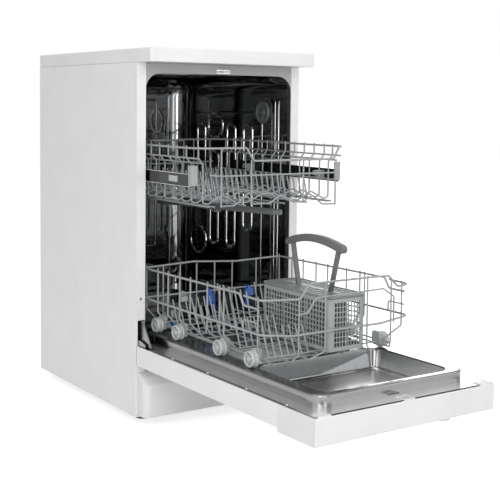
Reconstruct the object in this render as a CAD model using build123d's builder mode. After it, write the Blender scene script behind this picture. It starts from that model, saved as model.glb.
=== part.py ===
from build123d import *
import os

# Slimline free-standing dishwasher, door lying open and both baskets drawn out.
# Frame: X across the front, Y from the front flanges to the back, Z up from the floor.
# The origin is on the floor under the middle of the cabinet's front flanges.

os.makedirs("parts", exist_ok=True)

# Driving sizes of the cabinet
width = 448.0
height = 850.0
half = width / 2
worktop_thick = 31.0
worktop_front = -63.0
depth_back = 537.0
panel_bottom = 19.0
panel_top = height - worktop_thick
sheet = 0.8
flange_width = 23.0

# Tub mouth and cavity
mouth_half = 201.0
mouth_top = 796.0
mouth_bottom = 186.0
mouth_corner = 38.0
tub_half = 203.5
tub_top = 799.0
tub_front = 14.5
tub_back = 514.0
tub_sheet = 0.8
ledge_top = 208.0
ledge_inner = 152.0
pan_floor = 184.0
tub_base_bottom = 168.0

# Door, lying open
door_bottom = 138.8
door_edge = 183.0
door_root = -3.0
door_tip = -656.0
fascia_length = 113.0
fascia_drop = 8.0
liner_top = 208.0
liner_half = 189.0
liner_tip = -618.0
liner_corner = 34.0
pivot_y = -21.3
pivot_z = 180.3

# Running gear
wheel_radius = 17.9
wheel_z = ledge_top + 18.0
wheel_stations = (-4.0, -95.6, -265.5, -380.4)
wheel_inner = 163.0
roller_radius = 13.0
rail_bottom = 553.0
rail_top = 582.0
rail_outer = 200.0
rail_inner = 194.5
rail_front = -191.0
rail_back = 255.0
roller_station = 50.0
guide_station = 114.0

# Lower basket
low_half = 190.0
low_front = -440.0
low_back = 25.0
low_rim = 354.0
low_mid = 286.0
low_bend = 262.0
low_floor_half = 150.0
low_floor = 224.0
rim_wire = 2.3
thin_wire = 1.8

# Upper basket
up_half = 190.0
up_inner_half = 173.0
up_front = -212.0
up_back = 288.0
up_rim = 635.0
up_joggle_top = 613.0
up_joggle_bottom = 597.0
up_floor_side = 521.0
up_floor = 508.0
up_floor_half = 152.0

# Spray arms
arm_reach = 197.0
upper_arm = (3.0, 22.0, 481.0)
lower_arm = (0.0, 262.0, 199.0)


def keep(solid, name):
    solid.label = name
    export_step(solid, f"parts/{name}.step")
    print(name, len(solid.solids()), round(solid.volume / 1000, 1), "cm3")


def plate(x0, x1, y0, y1, z0, z1):
    """A block between two corners, made apart from any open part."""
    block = Box(x1 - x0, y1 - y0, z1 - z0, mode=Mode.PRIVATE)
    return Pos((x0 + x1) / 2, (y0 + y1) / 2, (z0 + z1) / 2) * block


def disc(x, y, z0, z1, radius):
    """An upright cylinder, made apart from any open part."""
    return Pos(x, y, (z0 + z1) / 2) * Cylinder(radius, z1 - z0, mode=Mode.PRIVATE)


def rod(start, end, radius):
    """A round bar from one point to another."""
    with BuildPart() as bar:
        with BuildLine() as path:
            Line(start, end)
        with BuildSketch(Plane(origin=path.line @ 0, z_dir=path.line % 0)):
            Circle(radius)
        sweep()
    return bar.part


def wire(points, radius, bend):
    """A bent wire along a polyline with rounded corners."""
    with BuildPart() as bent:
        with BuildLine() as path:
            FilletPolyline(*points, radius=bend)
        with BuildSketch(Plane(origin=path.line @ 0, z_dir=path.line % 0)):
            Circle(radius)
        sweep()
    return bent.part


def weld(wires):
    """Wires welded where they cross, as one solid."""
    with BuildPart() as welded:
        add(wires)
    return welded.part


def group(solids):
    """Separate solids that share one node."""
    return Compound(children=[s for part in solids for s in part.solids()])


def both_sides(solid):
    return [solid, mirror(solid, about=Plane.YZ)]


def spaced(first, last, count):
    return [first + (last - first) * i / (count - 1) for i in range(count)]


def facing(y):
    """A sketch plane across the machine at depth y, seen from the front."""
    return Plane(origin=(0, y, 0), x_dir=(1, 0, 0), z_dir=(0, -1, 0))


# Worktop, a laminated board that overhangs the front by the thickness of the door
with BuildPart() as worktop:
    with BuildSketch(Plane.XY.offset(panel_top)):
        with Locations((0, (worktop_front + depth_back) / 2)):
            Rectangle(width, depth_back - worktop_front)
    extrude(amount=worktop_thick)
    fillet(worktop.edges().filter_by(Axis.Z), radius=5)
    fillet(worktop.faces().sort_by(Axis.Z)[-1].edges(), radius=2.5)
    fillet(worktop.faces().sort_by(Axis.Z)[0].edges(), radius=1.5)
keep(worktop.part, "worktop")

# Side panels, folded sheet with a front flange that the hinge lever passes through
lever_slot = (-219.6, -200, 150, 240)
screw_heights = (289.0, 796.0)
screw_x = 213.0
screw_hole = 1.8
back_screw_x = (-200.0, 200.0)
back_screw_heights = (180.0, 480.0, 780.0)
with BuildPart() as side_panel:
    with BuildSketch(Plane.XY.offset(panel_bottom)):
        with BuildLine():
            Polyline(
                (-half, 0), (-half + flange_width, 0), (-half + flange_width, sheet), (-half + sheet, sheet),
                (-half + sheet, depth_back - 2 - sheet), (-half + 18, depth_back - 2 - sheet),
                (-half + 18, depth_back - 2), (-half, depth_back - 2), close=True,
            )
        make_face()
    extrude(amount=panel_top - 0.3 - panel_bottom)
    with BuildSketch(facing(-1)):
        with Locations(((lever_slot[0] + lever_slot[1]) / 2, (lever_slot[2] + lever_slot[3]) / 2)):
            Rectangle(lever_slot[1] - lever_slot[0], lever_slot[3] - lever_slot[2])
        with Locations(*[(-screw_x, z) for z in screw_heights]):
            Circle(screw_hole)
    extrude(amount=-4, mode=Mode.SUBTRACT)
keep(side_panel.part, "side_panel_left")
keep(mirror(side_panel.part, about=Plane.YZ), "side_panel_right")

# Back panel with cut-outs left to the base tray below it
with BuildPart() as back_panel:
    with BuildSketch(Plane(origin=(0, depth_back - 1, 0), x_dir=(1, 0, 0), z_dir=(0, -1, 0))):
        with Locations((0, (132 + panel_top - 1) / 2)):
            Rectangle(2 * half - 4, panel_top - 1 - 132)
    extrude(amount=-sheet)
    with BuildSketch(facing(depth_back - 1)):
        with Locations(*[(x, 480) for x in (-120, 0, 120)]):
            SlotOverall(480, 16, rotation=90)
    extrude(amount=1)
    with BuildSketch(facing(depth_back - 2)):
        with Locations(*[(x, z) for x in back_screw_x for z in back_screw_heights]):
            Circle(screw_hole)
    extrude(amount=-4, mode=Mode.SUBTRACT)
keep(back_panel.part, "back_panel")

# Base tray, the moulded floor that everything under the tub stands on
inlet_place = (-150.0, 78.0)
drain_place = (-95.0, 96.0)
gland_place = (150.0, 86.0)
with BuildPart() as base_tray:
    add(plate(-half + 2.2, half - 2.2, 4, depth_back - 3, 21, 24))
    add(plate(-half + 2.2, -half + 5, 4, depth_back - 3, 24, 62))
    add(plate(half - 5, half - 2.2, 4, depth_back - 3, 24, 62))
    add(plate(-half + 5, half - 5, 4, 7, 24, 62))
    add(plate(-half + 5, half - 5, depth_back - 6, depth_back - 3, 24, 130))
    for x in (-176.0, 176.0):
        for y in (56.0, 480.0):
            add(disc(x, y, 24, 31, 14))
    for y in (150.0, 250.0, 350.0, 450.0):
        add(plate(-half + 5, half - 5, y - 1.2, y + 1.2, 24, 34))
    with BuildSketch(facing(depth_back - 10)):
        with Locations(inlet_place):
            Circle(13.6)
        with Locations(drain_place):
            Circle(10.4)
        with Locations(gland_place):
            Circle(8.2)
    extrude(amount=-12, mode=Mode.SUBTRACT)
keep(base_tray.part, "base_tray")

# Kick plate in front of the base, with a sloping top that lets the door swing
plinth_face = -39.0
plinth_half = 221.5
with BuildPart() as plinth:
    with BuildSketch(Plane.XY.offset(25)):
        with Locations((0, (plinth_face - 0.2) / 2)):
            Rectangle(2 * plinth_half, -0.2 - plinth_face)
    extrude(amount=97)
    with BuildSketch(Plane(origin=(-plinth_half - 1, 0, 0), x_dir=(0, 1, 0), z_dir=(1, 0, 0))):
        with BuildLine():
            Polyline((plinth_face - 1, 98), (-6, 122.5), (plinth_face - 1, 122.5), close=True)
        make_face()
    extrude(amount=2 * plinth_half + 2, mode=Mode.SUBTRACT)
    fillet(plinth.edges().filter_by(Axis.Z).group_by(Axis.Y)[0], radius=17)
    plinth_lines = plinth.edges().filter_by(GeomType.LINE).filter_by(Axis.X)
    fillet(plinth_lines.group_by(Axis.Y)[0].group_by(Axis.Z)[-1], radius=3)
    add(plate(-plinth_half + 18, plinth_half - 18, plinth_face + 3, 0, 24, 94), mode=Mode.SUBTRACT)
keep(plinth.part, "plinth")

# Screw feet
with BuildPart() as foot:
    with BuildSketch():
        Circle(19)
    extrude(amount=7)
    fillet(foot.edges().group_by(Axis.Z)[-1], radius=2)
    with BuildSketch(Plane.XY.offset(7)):
        RegularPolygon(9, 6)
    extrude(amount=5)
    with BuildSketch(Plane.XY.offset(12)):
        Circle(5)
    extrude(amount=8.9)
keep(group([Pos(x, y, 0) * foot.part for x in (-176, 176) for y in (56, 480)]), "feet")

# Ballast block that keeps the machine from tipping with the door down
with BuildPart() as counterweight:
    with BuildSketch(Plane.XY.offset(34.2)):
        with Locations((20, 448)):
            RectangleRounded(290, 90, 8)
    extrude(amount=42)
    with Locations((-60, 448, 76.2), (100, 448, 76.2)):
        Hole(7)
keep(counterweight.part, "counterweight")

# Tub: a stainless wrap over both sides and the top
ring_center = (346.0, 664.0)
vent_center = (121.0, 708.0)


def wall_ridge(ridge_high, x):
    """Pressed ridges on the inside of one tub wall."""
    with BuildPart() as ridge:
        with BuildSketch(Plane(origin=(x, 0, 0), x_dir=(0, 1, 0), z_dir=(1, 0, 0))):
            with Locations((305, 470)):
                RectangleRounded(352, 468, 34)
                RectangleRounded(342, 458, 29, mode=Mode.SUBTRACT)
            with Locations(ring_center, (ring_center[0] - 30, 350)):
                Circle(37)
                Circle(32, mode=Mode.SUBTRACT)
            for y in (423, 272, 190):
                with Locations((y, 560)):
                    SlotOverall(216, 40, rotation=90)
                    SlotOverall(206, 30, rotation=90, mode=Mode.SUBTRACT)
            with Locations(vent_center):
                Circle(31, mode=Mode.SUBTRACT)
        extrude(amount=ridge_high)
    return ridge.part


ridge_height = 1.6
with BuildPart() as tub_wrap:
    with BuildSketch(facing(tub_front)):
        with Locations((0, (tub_top + 100) / 2)):
            RectangleRounded(2 * tub_half + 2 * tub_sheet, tub_top - 100 + 2 * tub_sheet, mouth_corner)
            RectangleRounded(2 * tub_half, tub_top - 100, mouth_corner - tub_sheet, mode=Mode.SUBTRACT)
        with Locations((0, 100)):
            Rectangle(500, 217, mode=Mode.SUBTRACT)
    extrude(amount=-(tub_back - tub_front))
    add(wall_ridge(ridge_height, tub_half - ridge_height))
    add(wall_ridge(ridge_height, -tub_half))
    for y in (150.0, 330.0):
        add(plate(-160, 160, y, y + 70, tub_top - 2.4, tub_top))
keep(tub_wrap.part, "tub_wrap")

# Tub back wall with pressed uprights
with BuildPart() as tub_back_wall:
    add(plate(-tub_half, tub_half, 514.2, 515, 168, tub_top))
    for x in (-130.0, -75.0, 75.0, 130.0):
        add(plate(x - 9, x + 9, 512.2, 514.2, 260, 740))
keep(tub_back_wall.part, "tub_back_wall")

# Tub floor: wheel ledges both sides, a pan between them, a sump hole and the arm post
filter_place = (-80.0, 108.0)
salt_place = (95.0, 108.0)
floor_sheet = 1.2
with BuildPart() as tub_floor:
    with BuildSketch(Plane.XY.offset(tub_base_bottom)):
        with Locations((0, (tub_front + 513.8) / 2)):
            Rectangle(2 * tub_half + 1.2, 513.8 - tub_front)
    extrude(amount=ledge_top - 0.2 - tub_base_bottom)
    with BuildSketch(Plane.XY.offset(pan_floor)):
        with Locations((0, 262)):
            RectangleRounded(2 * ledge_inner, 452, 30)
    extrude(amount=40, mode=Mode.SUBTRACT)
    with BuildSketch(Plane(origin=(-300, 0, 0), x_dir=(0, 1, 0), z_dir=(1, 0, 0))):
        with BuildLine():
            Polyline((14, 196), (46, ledge_top), (14, ledge_top), close=True)
        make_face()
    extrude(amount=600, mode=Mode.SUBTRACT)
    with BuildSketch(Plane.XY.offset(pan_floor)):
        with Locations(lower_arm[:2]):
            Circle(13)
    extrude(amount=13.1)
    with BuildSketch(Plane.XY.offset(pan_floor)):
        with Locations(lower_arm[:2]):
            Circle(6)
    extrude(amount=26)
    with BuildSketch(Plane.XY.offset(tub_base_bottom)):
        with Locations(filter_place):
            Circle(43)
        with Locations(salt_place):
            Circle(24)
    extrude(amount=60, mode=Mode.SUBTRACT)
    with BuildSketch(Plane.XY.offset(tub_base_bottom - 1)):
        with Locations((0, 262)):
            Rectangle(2 * ledge_inner - 2, 450)
        with Locations(filter_place):
            Circle(52, mode=Mode.SUBTRACT)
        with Locations(salt_place):
            Circle(32, mode=Mode.SUBTRACT)
        with Locations(lower_arm[:2]):
            Circle(16, mode=Mode.SUBTRACT)
    extrude(amount=pan_floor - floor_sheet - tub_base_bottom + 1, mode=Mode.SUBTRACT)
    ledge_hollow_top = ledge_top - 0.2 - floor_sheet
    for side in (-1, 1):
        x0, x1 = sorted((side * (ledge_inner + floor_sheet), side * (tub_half - floor_sheet)))
        add(plate(x0, x1, 47, 512.4, tub_base_bottom - 1, ledge_hollow_top), mode=Mode.SUBTRACT)
    add(plate(-150, 150, 489.4, 512.4, tub_base_bottom - 1, ledge_hollow_top), mode=Mode.SUBTRACT)
    add(plate(-tub_half + 2, tub_half - 2, 16, 34.6, tub_base_bottom - 1, 194), mode=Mode.SUBTRACT)
keep(tub_floor.part, "tub_floor")

# Grey frame around the tub mouth
with BuildPart() as front_frame:
    with BuildSketch(facing(1.0)):
        with Locations((0, (120 + panel_top - 0.6) / 2)):
            Rectangle(2 * half - 2.4, panel_top - 0.6 - 120)
        with Locations((0, (mouth_top + mouth_bottom) / 2)):
            RectangleRounded(2 * mouth_half, mouth_top - mouth_bottom, mouth_corner, mode=Mode.SUBTRACT)
        with Locations((0, mouth_bottom + 25)):
            Rectangle(2 * mouth_half, 60, mode=Mode.SUBTRACT)
        with Locations((-211.3, 195), (211.3, 195)):
            Rectangle(16.6, 90, mode=Mode.SUBTRACT)
        with Locations(*[(x, z) for x in (-screw_x, screw_x) for z in screw_heights]):
            Circle(screw_hole, mode=Mode.SUBTRACT)
    extrude(amount=-1.6)
keep(front_frame.part, "front_frame")

# Rubber seal round the mouth, behind the frame
with BuildPart() as door_seal:
    with BuildSketch(facing(2.8)):
        with Locations((0, (mouth_top + 100) / 2)):
            RectangleRounded(2 * mouth_half + 8, mouth_top - 100 + 8, mouth_corner + 4)
            RectangleRounded(2 * mouth_half - 0.4, mouth_top - 100 - 0.4, mouth_corner, mode=Mode.SUBTRACT)
        with Locations((0, 100)):
            Rectangle(500, 220, mode=Mode.SUBTRACT)
    extrude(amount=-11.4)
    fillet(door_seal.faces().sort_by(Axis.Y)[0].edges().filter_by(lambda e: e.length > 60), radius=1.5)
keep(door_seal.part, "door_seal")

# Rail carriers on the tub walls: plate, front axle and a rear guide shoe
with BuildPart() as rail_bracket:
    add(plate(201.4, 203.2, 18, 128, 541, 594))
    with BuildSketch(Plane(origin=(195.9, 0, 0), x_dir=(0, 1, 0), z_dir=(1, 0, 0))):
        with Locations((roller_station, (rail_bottom + rail_top) / 2)):
            Circle(3)
    extrude(amount=6)
    add(plate(195.9, 201.4, guide_station - 11, guide_station + 11, rail_bottom + 1.9, rail_top - 1.9))
    fillet(rail_bracket.edges().filter_by(Axis.X).group_by(Axis.X)[-1], radius=4)
keep(group(both_sides(rail_bracket.part)), "rail_brackets")

with BuildPart() as rail_roller:
    with BuildSketch(Plane(origin=(196.1, 0, 0), x_dir=(0, 1, 0), z_dir=(1, 0, 0))):
        with Locations((roller_station, (rail_bottom + rail_top) / 2)):
            Circle(roller_radius)
            Circle(3.05, mode=Mode.SUBTRACT)
    extrude(amount=4.6)
keep(group(both_sides(rail_roller.part)), "rail_rollers")

# Feed pipe up the back wall, with a docking mouth for the upper arm
with BuildPart() as feed_pipe:
    with BuildSketch(Plane.XY.offset(ledge_top)):
        with Locations((3, 500)):
            RectangleRounded(34, 23, 8)
    extrude(amount=536)
    with BuildSketch(facing(488.4)):
        with Locations((3, 500)):
            Circle(15)
    extrude(amount=-8)
    with BuildSketch(facing(486)):
        with Locations((3, 500)):
            Circle(9)
    extrude(amount=-14, mode=Mode.SUBTRACT)
    with BuildSketch(Plane.XY.offset(690)):
        with Locations((3, 500)):
            RectangleRounded(40, 26, 9)
    extrude(amount=12)
keep(feed_pipe.part, "feed_pipe")

# Round vent cap on the right wall
with BuildPart() as vent_cap:
    with BuildSketch(Plane(origin=(tub_half - 6.2, vent_center[0], vent_center[1]), z_dir=(1, 0, 0))):
        Circle(29)
    extrude(amount=6)
    fillet(vent_cap.edges().group_by(Axis.X)[0], radius=3)
    with BuildSketch(Plane(origin=(tub_half - 6.3, vent_center[0], vent_center[1]), z_dir=(1, 0, 0))):
        for r in (20, 12):
            Circle(r)
            Circle(r - 3, mode=Mode.SUBTRACT)
    extrude(amount=2, mode=Mode.SUBTRACT)
keep(vent_cap.part, "vent_cap")

# Water parts under the tub: sump, pumps, softener, valve and drain outlet
with BuildPart() as sump:
    with BuildSketch(Plane.XY.offset(66)):
        with Locations(filter_place):
            Circle(50)
    extrude(amount=tub_base_bottom - 0.3 - 66)
    with BuildSketch(Plane.XY.offset(70)):
        with Locations(filter_place):
            Circle(46)
    extrude(amount=120, mode=Mode.SUBTRACT)
    with BuildSketch(facing(filter_place[1] + 47)):
        with Locations((filter_place[0], 104)):
            Circle(15)
    extrude(amount=-42)
keep(sump.part, "sump")

with BuildPart() as wash_pump:
    with BuildSketch(facing(198)):
        with Locations((filter_place[0], 104)):
            Circle(38)
    extrude(amount=-38)
    with BuildSketch(facing(236.2)):
        with Locations((filter_place[0], 104)):
            Circle(32)
    extrude(amount=-96)
    with BuildSketch(Plane(origin=(filter_place[0] + 30, 217, 104), z_dir=(1, 0, 0))):
        Circle(12)
    extrude(amount=70)
with BuildPart() as drain_pump:
    with BuildSketch(facing(400)):
        with Locations((-165, 76)):
            Circle(27)
    extrude(amount=-62)
    with BuildSketch(facing(462)):
        with Locations((-165, 76)):
            Circle(14)
    extrude(amount=-7)
keep(group([wash_pump.part, drain_pump.part]), "pumps")

with BuildPart() as softener:
    with BuildSketch(Plane.XY.offset(72)):
        with Locations((salt_place[0] + 20, 132)):
            RectangleRounded(150, 150, 20)
    extrude(amount=tub_base_bottom - 0.4 - 72)
    with BuildSketch(Plane.XY.offset(tub_base_bottom - 0.4)):
        with Locations(salt_place):
            Circle(23.6)
    extrude(amount=16.2)
    with BuildSketch(Plane.XY.offset(96)):
        with Locations(salt_place):
            Circle(19)
    extrude(amount=100, mode=Mode.SUBTRACT)
    fillet(softener.edges().group_by(Axis.Z)[0], radius=6)
keep(softener.part, "softener")

with BuildPart() as salt_cap:
    with BuildSketch(Plane.XY.offset(pan_floor + 0.3)):
        with Locations(salt_place):
            Circle(31)
    extrude(amount=5)
    with BuildSketch(Plane.XY.offset(pan_floor + 5.3)):
        with Locations(salt_place):
            SlotOverall(48, 11)
    extrude(amount=5)
    with BuildSketch(Plane.XY.offset(pan_floor + 0.3)):
        with Locations(salt_place):
            Circle(18.9)
    extrude(amount=-18)
    fillet(salt_cap.edges().group_by(Axis.Z)[-1], radius=1.5)
keep(salt_cap.part, "salt_cap")

spigot_start = 536.0
inlet_thread = 13.2
with BuildPart() as inlet_valve:
    with BuildSketch(facing(470)):
        with Locations(inlet_place):
            Rectangle(40, 46)
    extrude(amount=-58)
    fillet(inlet_valve.edges().filter_by(Axis.Y), radius=6)
    with BuildSketch(facing(528)):
        with Locations(inlet_place):
            Circle(inlet_thread - 0.8)
    extrude(amount=-10)
    with BuildSketch(facing(spigot_start)):
        with Locations(inlet_place):
            Circle(inlet_thread)
    extrude(amount=spigot_start - 552)
    with BuildSketch(facing(552.1)):
        with Locations(inlet_place):
            Circle(9)
    extrude(amount=18, mode=Mode.SUBTRACT)
keep(inlet_valve.part, "inlet_valve")

drain_radius = 10.0
with BuildPart() as drain_outlet:
    with BuildSketch(facing(512)):
        with Locations(drain_place):
            Circle(drain_radius - 0.5)
    extrude(amount=-26)
    with BuildSketch(facing(spigot_start)):
        with Locations(drain_place):
            Circle(drain_radius)
    extrude(amount=spigot_start - 558)
    with BuildSketch(facing(530.9)):
        with Locations(drain_place):
            Circle(15)
    extrude(amount=6)
    with BuildSketch(facing(511)):
        with Locations(drain_place):
            Circle(7.5)
    extrude(amount=-50, mode=Mode.SUBTRACT)
keep(drain_outlet.part, "drain_outlet")

with BuildPart() as cable_gland:
    with BuildSketch(facing(530.6)):
        with Locations(gland_place):
            RegularPolygon(11, 6)
    extrude(amount=7)
    with BuildSketch(facing(530.6)):
        with Locations(gland_place):
            Circle(8.1)
    extrude(amount=-12)
    with BuildSketch(facing(534.2)):
        with Locations(gland_place):
            Circle(11)
    extrude(amount=-8)
    with BuildSketch(facing(500)):
        with Locations(gland_place):
            Circle(4)
    extrude(amount=-60, mode=Mode.SUBTRACT)
keep(cable_gland.part, "cable_gland")

# Filter set in the pan
with BuildPart() as filter_plate:
    with BuildSketch(Plane.XY.offset(pan_floor + 0.3)):
        with Locations((filter_place[0] + 10, filter_place[1] + 14)):
            RectangleRounded(120, 128, 14)
        with Locations(filter_place):
            Circle(39, mode=Mode.SUBTRACT)
        with Locations((filter_place[0] + 10, filter_place[1] + 66)):
            with GridLocations(12, 6, 8, 2):
                SlotOverall(9, 2.4, mode=Mode.SUBTRACT)
    extrude(amount=1)
keep(filter_plate.part, "filter_plate")

with BuildPart() as filter_cylinder:
    with BuildSketch(Plane.XY.offset(84)):
        with Locations(filter_place):
            Circle(38)
            Circle(36, mode=Mode.SUBTRACT)
    extrude(amount=pan_floor + 3 - 84)
    with BuildSketch(Plane.XY.offset(pan_floor + 1)):
        with Locations(filter_place):
            Circle(38)
            Circle(24, mode=Mode.SUBTRACT)
    extrude(amount=3)
    with BuildSketch(Plane.XY.offset(pan_floor + 1)):
        with Locations(filter_place):
            SlotOverall(74, 12)
    extrude(amount=6)
    with BuildSketch(Plane.XY.offset(pan_floor + 6)):
        with Locations(filter_place):
            SlotOverall(46, 12)
    extrude(amount=15)
    for level in (100.0, 125.0, 150.0):
        with BuildSketch(Plane.XY.offset(level)):
            with Locations(filter_place):
                with PolarLocations(37, 12):
                    Rectangle(8, 6)
        extrude(amount=16, mode=Mode.SUBTRACT)
keep(filter_cylinder.part, "filter_cylinder")


arm_thick = 11.0
hub_step = 1.6
hub_bore = 6.06


def spray_arm(reach, nozzles):
    """A two-armed rotor along X, wide at the hub, with nozzle holes and a hub collar."""
    with BuildPart() as rotor:
        with BuildSketch():
            with BuildLine():
                Polyline((-reach + 16, -16), (-40, -21), (40, -21), (reach - 16, -16))
                ThreePointArc((reach - 16, -16), (reach, 0), (reach - 16, 16))
                Polyline((reach - 16, 16), (40, 21), (-40, 21), (-reach + 16, 16))
                ThreePointArc((-reach + 16, 16), (-reach, 0), (-reach + 16, -16))
            make_face()
        extrude(amount=arm_thick)
        fillet(rotor.faces().sort_by(Axis.Z)[-1].edges(), radius=3.5)
        fillet(rotor.faces().sort_by(Axis.Z)[0].edges(), radius=2.5)
        with BuildSketch(Plane.XY.offset(arm_thick - 2)):
            with Locations(*[(n, 5 if n > 0 else -5) for n in nozzles]):
                SlotOverall(9, 3)
        extrude(amount=4, mode=Mode.SUBTRACT)
        with BuildSketch(Plane.XY.offset(-hub_step)):
            Circle(17)
        extrude(amount=arm_thick + 2 * hub_step)
        with BuildSketch(Plane.XY.offset(-hub_step - 1)):
            Circle(hub_bore)
        extrude(amount=arm_thick + 2 * hub_step + 2, mode=Mode.SUBTRACT)
    return rotor.part


lower_rotor = spray_arm(148, (-130, -104, -78, -52, 52, 78, 104, 130))
keep(Pos(*lower_arm) * lower_rotor, "lower_spray_arm")

# Hinge carriers in the cabinet, their pins, and the springs that balance the door
with BuildPart() as hinge_bracket:
    with BuildSketch(Plane(origin=(-219, 0, 0), x_dir=(0, 1, 0), z_dir=(1, 0, 0))):
        with BuildLine():
            Polyline((-34, 168), (-34, 190), (-12, 196), (60, 196), (60, 66), (6, 66), (6, 150), close=True)
        make_face()
    extrude(amount=2.4)
    with BuildSketch(Plane(origin=(-219, 0, 0), x_dir=(0, 1, 0), z_dir=(1, 0, 0))):
        with Locations((pivot_y, pivot_z)):
            Circle(4)
    extrude(amount=11)
    with BuildSketch(Plane(origin=(-221.8, 0, 0), x_dir=(0, 1, 0), z_dir=(1, 0, 0))):
        with Locations((34, 120)):
            Rectangle(40, 60)
    extrude(amount=2.8)
keep(group(both_sides(hinge_bracket.part)), "hinge_brackets")

spring_x = 205.0
with BuildPart() as door_spring:
    with BuildSketch(facing(120)):
        with Locations((-spring_x, 86)):
            Circle(8)
            Circle(5.5, mode=Mode.SUBTRACT)
    extrude(amount=-150)
    with BuildSketch(facing(110)):
        with Locations((-spring_x, 86)):
            Circle(6.2)
    extrude(amount=-12)
    with BuildSketch(facing(268)):
        with Locations((-spring_x, 86)):
            Circle(6.2)
    extrude(amount=-12)
    with BuildSketch(facing(268)):
        with Locations((-spring_x, 62)):
            Rectangle(10, 60)
    extrude(amount=-5)
keep(group(both_sides(door_spring.part)), "door_springs")

# Steel striker that the door latch hooks over
latch_x = 1.0
striker_z = 803.0
with BuildPart() as latch_strike:
    with BuildSketch(facing(-2.2)):
        with Locations((latch_x + 1, striker_z)):
            RectangleRounded(38, 9, 3)
        with Locations((latch_x - 13, striker_z), (latch_x + 15, striker_z)):
            Circle(1.6, mode=Mode.SUBTRACT)
    extrude(amount=-3)
    with BuildSketch(facing(-16)):
        with Locations((latch_x - 7, striker_z), (latch_x + 9, striker_z)):
            Circle(2)
    extrude(amount=-14)
    with BuildSketch(Plane(origin=(latch_x - 9, 0, 0), x_dir=(0, 1, 0), z_dir=(1, 0, 0))):
        with Locations((-16, striker_z)):
            Circle(2)
    extrude(amount=20)
keep(latch_strike.part, "latch_strike")


def pan_screw(length):
    """A small cross-head screw, head at the origin and pointing along its plane."""
    with BuildPart() as screw:
        with BuildSketch():
            Circle(3.4)
        extrude(amount=1.6)
        fillet(screw.edges().group_by(Axis.Z)[-1], radius=0.8)
        with BuildSketch(Plane.XY.offset(1.0)):
            Rectangle(3.6, 0.8)
            Rectangle(0.8, 3.6)
        extrude(amount=1, mode=Mode.SUBTRACT)
        with BuildSketch():
            Circle(1.5)
        extrude(amount=-length)
    return screw.part


front_screw = pan_screw(9)
back_screw = pan_screw(6)
cabinet_screws = []
for side in (-1, 1):
    for z in screw_heights:
        seat = Plane(origin=(side * screw_x, -0.05, z), z_dir=(0, -1, 0))
        cabinet_screws.append(seat * front_screw)
for x in back_screw_x:
    for z in back_screw_heights:
        seat = Plane(origin=(x, depth_back - 0.1, z), z_dir=(0, 1, 0))
        cabinet_screws.append(seat * back_screw)
keep(group(cabinet_screws), "cabinet_screws")

# Door, built in the position in which it lies open
panel_end = door_tip + fascia_length
with BuildPart() as door_outer_panel:
    add(plate(-half, half, panel_end, door_root, door_bottom, door_bottom + sheet))
    for side in (-1, 1):
        x0, x1 = sorted((side * half, side * (half - sheet)))
        add(plate(x0, x1, panel_end, door_root, door_bottom, door_edge))
        x0, x1 = sorted((side * half, side * (half - 3)))
        add(plate(x0, x1, panel_end, door_root, door_edge - sheet, door_edge))
    fillet(door_outer_panel.edges().filter_by(Axis.Y).group_by(Axis.Z)[0].group_by(Axis.X)[0], radius=0.7)
    fillet(door_outer_panel.edges().filter_by(Axis.Y).group_by(Axis.Z)[0].group_by(Axis.X)[-1], radius=0.7)
keep(door_outer_panel.part, "door_outer_panel")

recess_half = 160.0
recess_back = -372.0
recess_front = -600.0
recess_floor = 164.0
skin = 1.0
flange_z = door_edge + 0.2
door_screw_x = 215.0
door_screw_y = (-150.0, -290.0, -430.0, -560.0)
dispenser_box = (-150.0, 100.0, -366.0, -250.0)
dispenser_centre = ((dispenser_box[0] + dispenser_box[1]) / 2, (dispenser_box[2] + dispenser_box[3]) / 2)
recess_lip = 4.0
recess_slope = 12.0


def recess_pocket(grow, bottom, round_off):
    """The hollow of the liner's recess, with sloping walls and a rounded floor edge."""
    with BuildPart() as pocket:
        with BuildSketch(Plane.XY.offset(liner_top)):
            with Locations((0, (recess_back + recess_front) / 2)):
                RectangleRounded(
                    2 * (recess_half + grow), recess_back - recess_front + 2 * grow, liner_corner - 6 + grow,
                )
        extrude(amount=bottom - liner_top, taper=recess_slope)
        fillet(pocket.faces().sort_by(Axis.Z)[0].edges(), radius=round_off)
    return pocket.part


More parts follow.
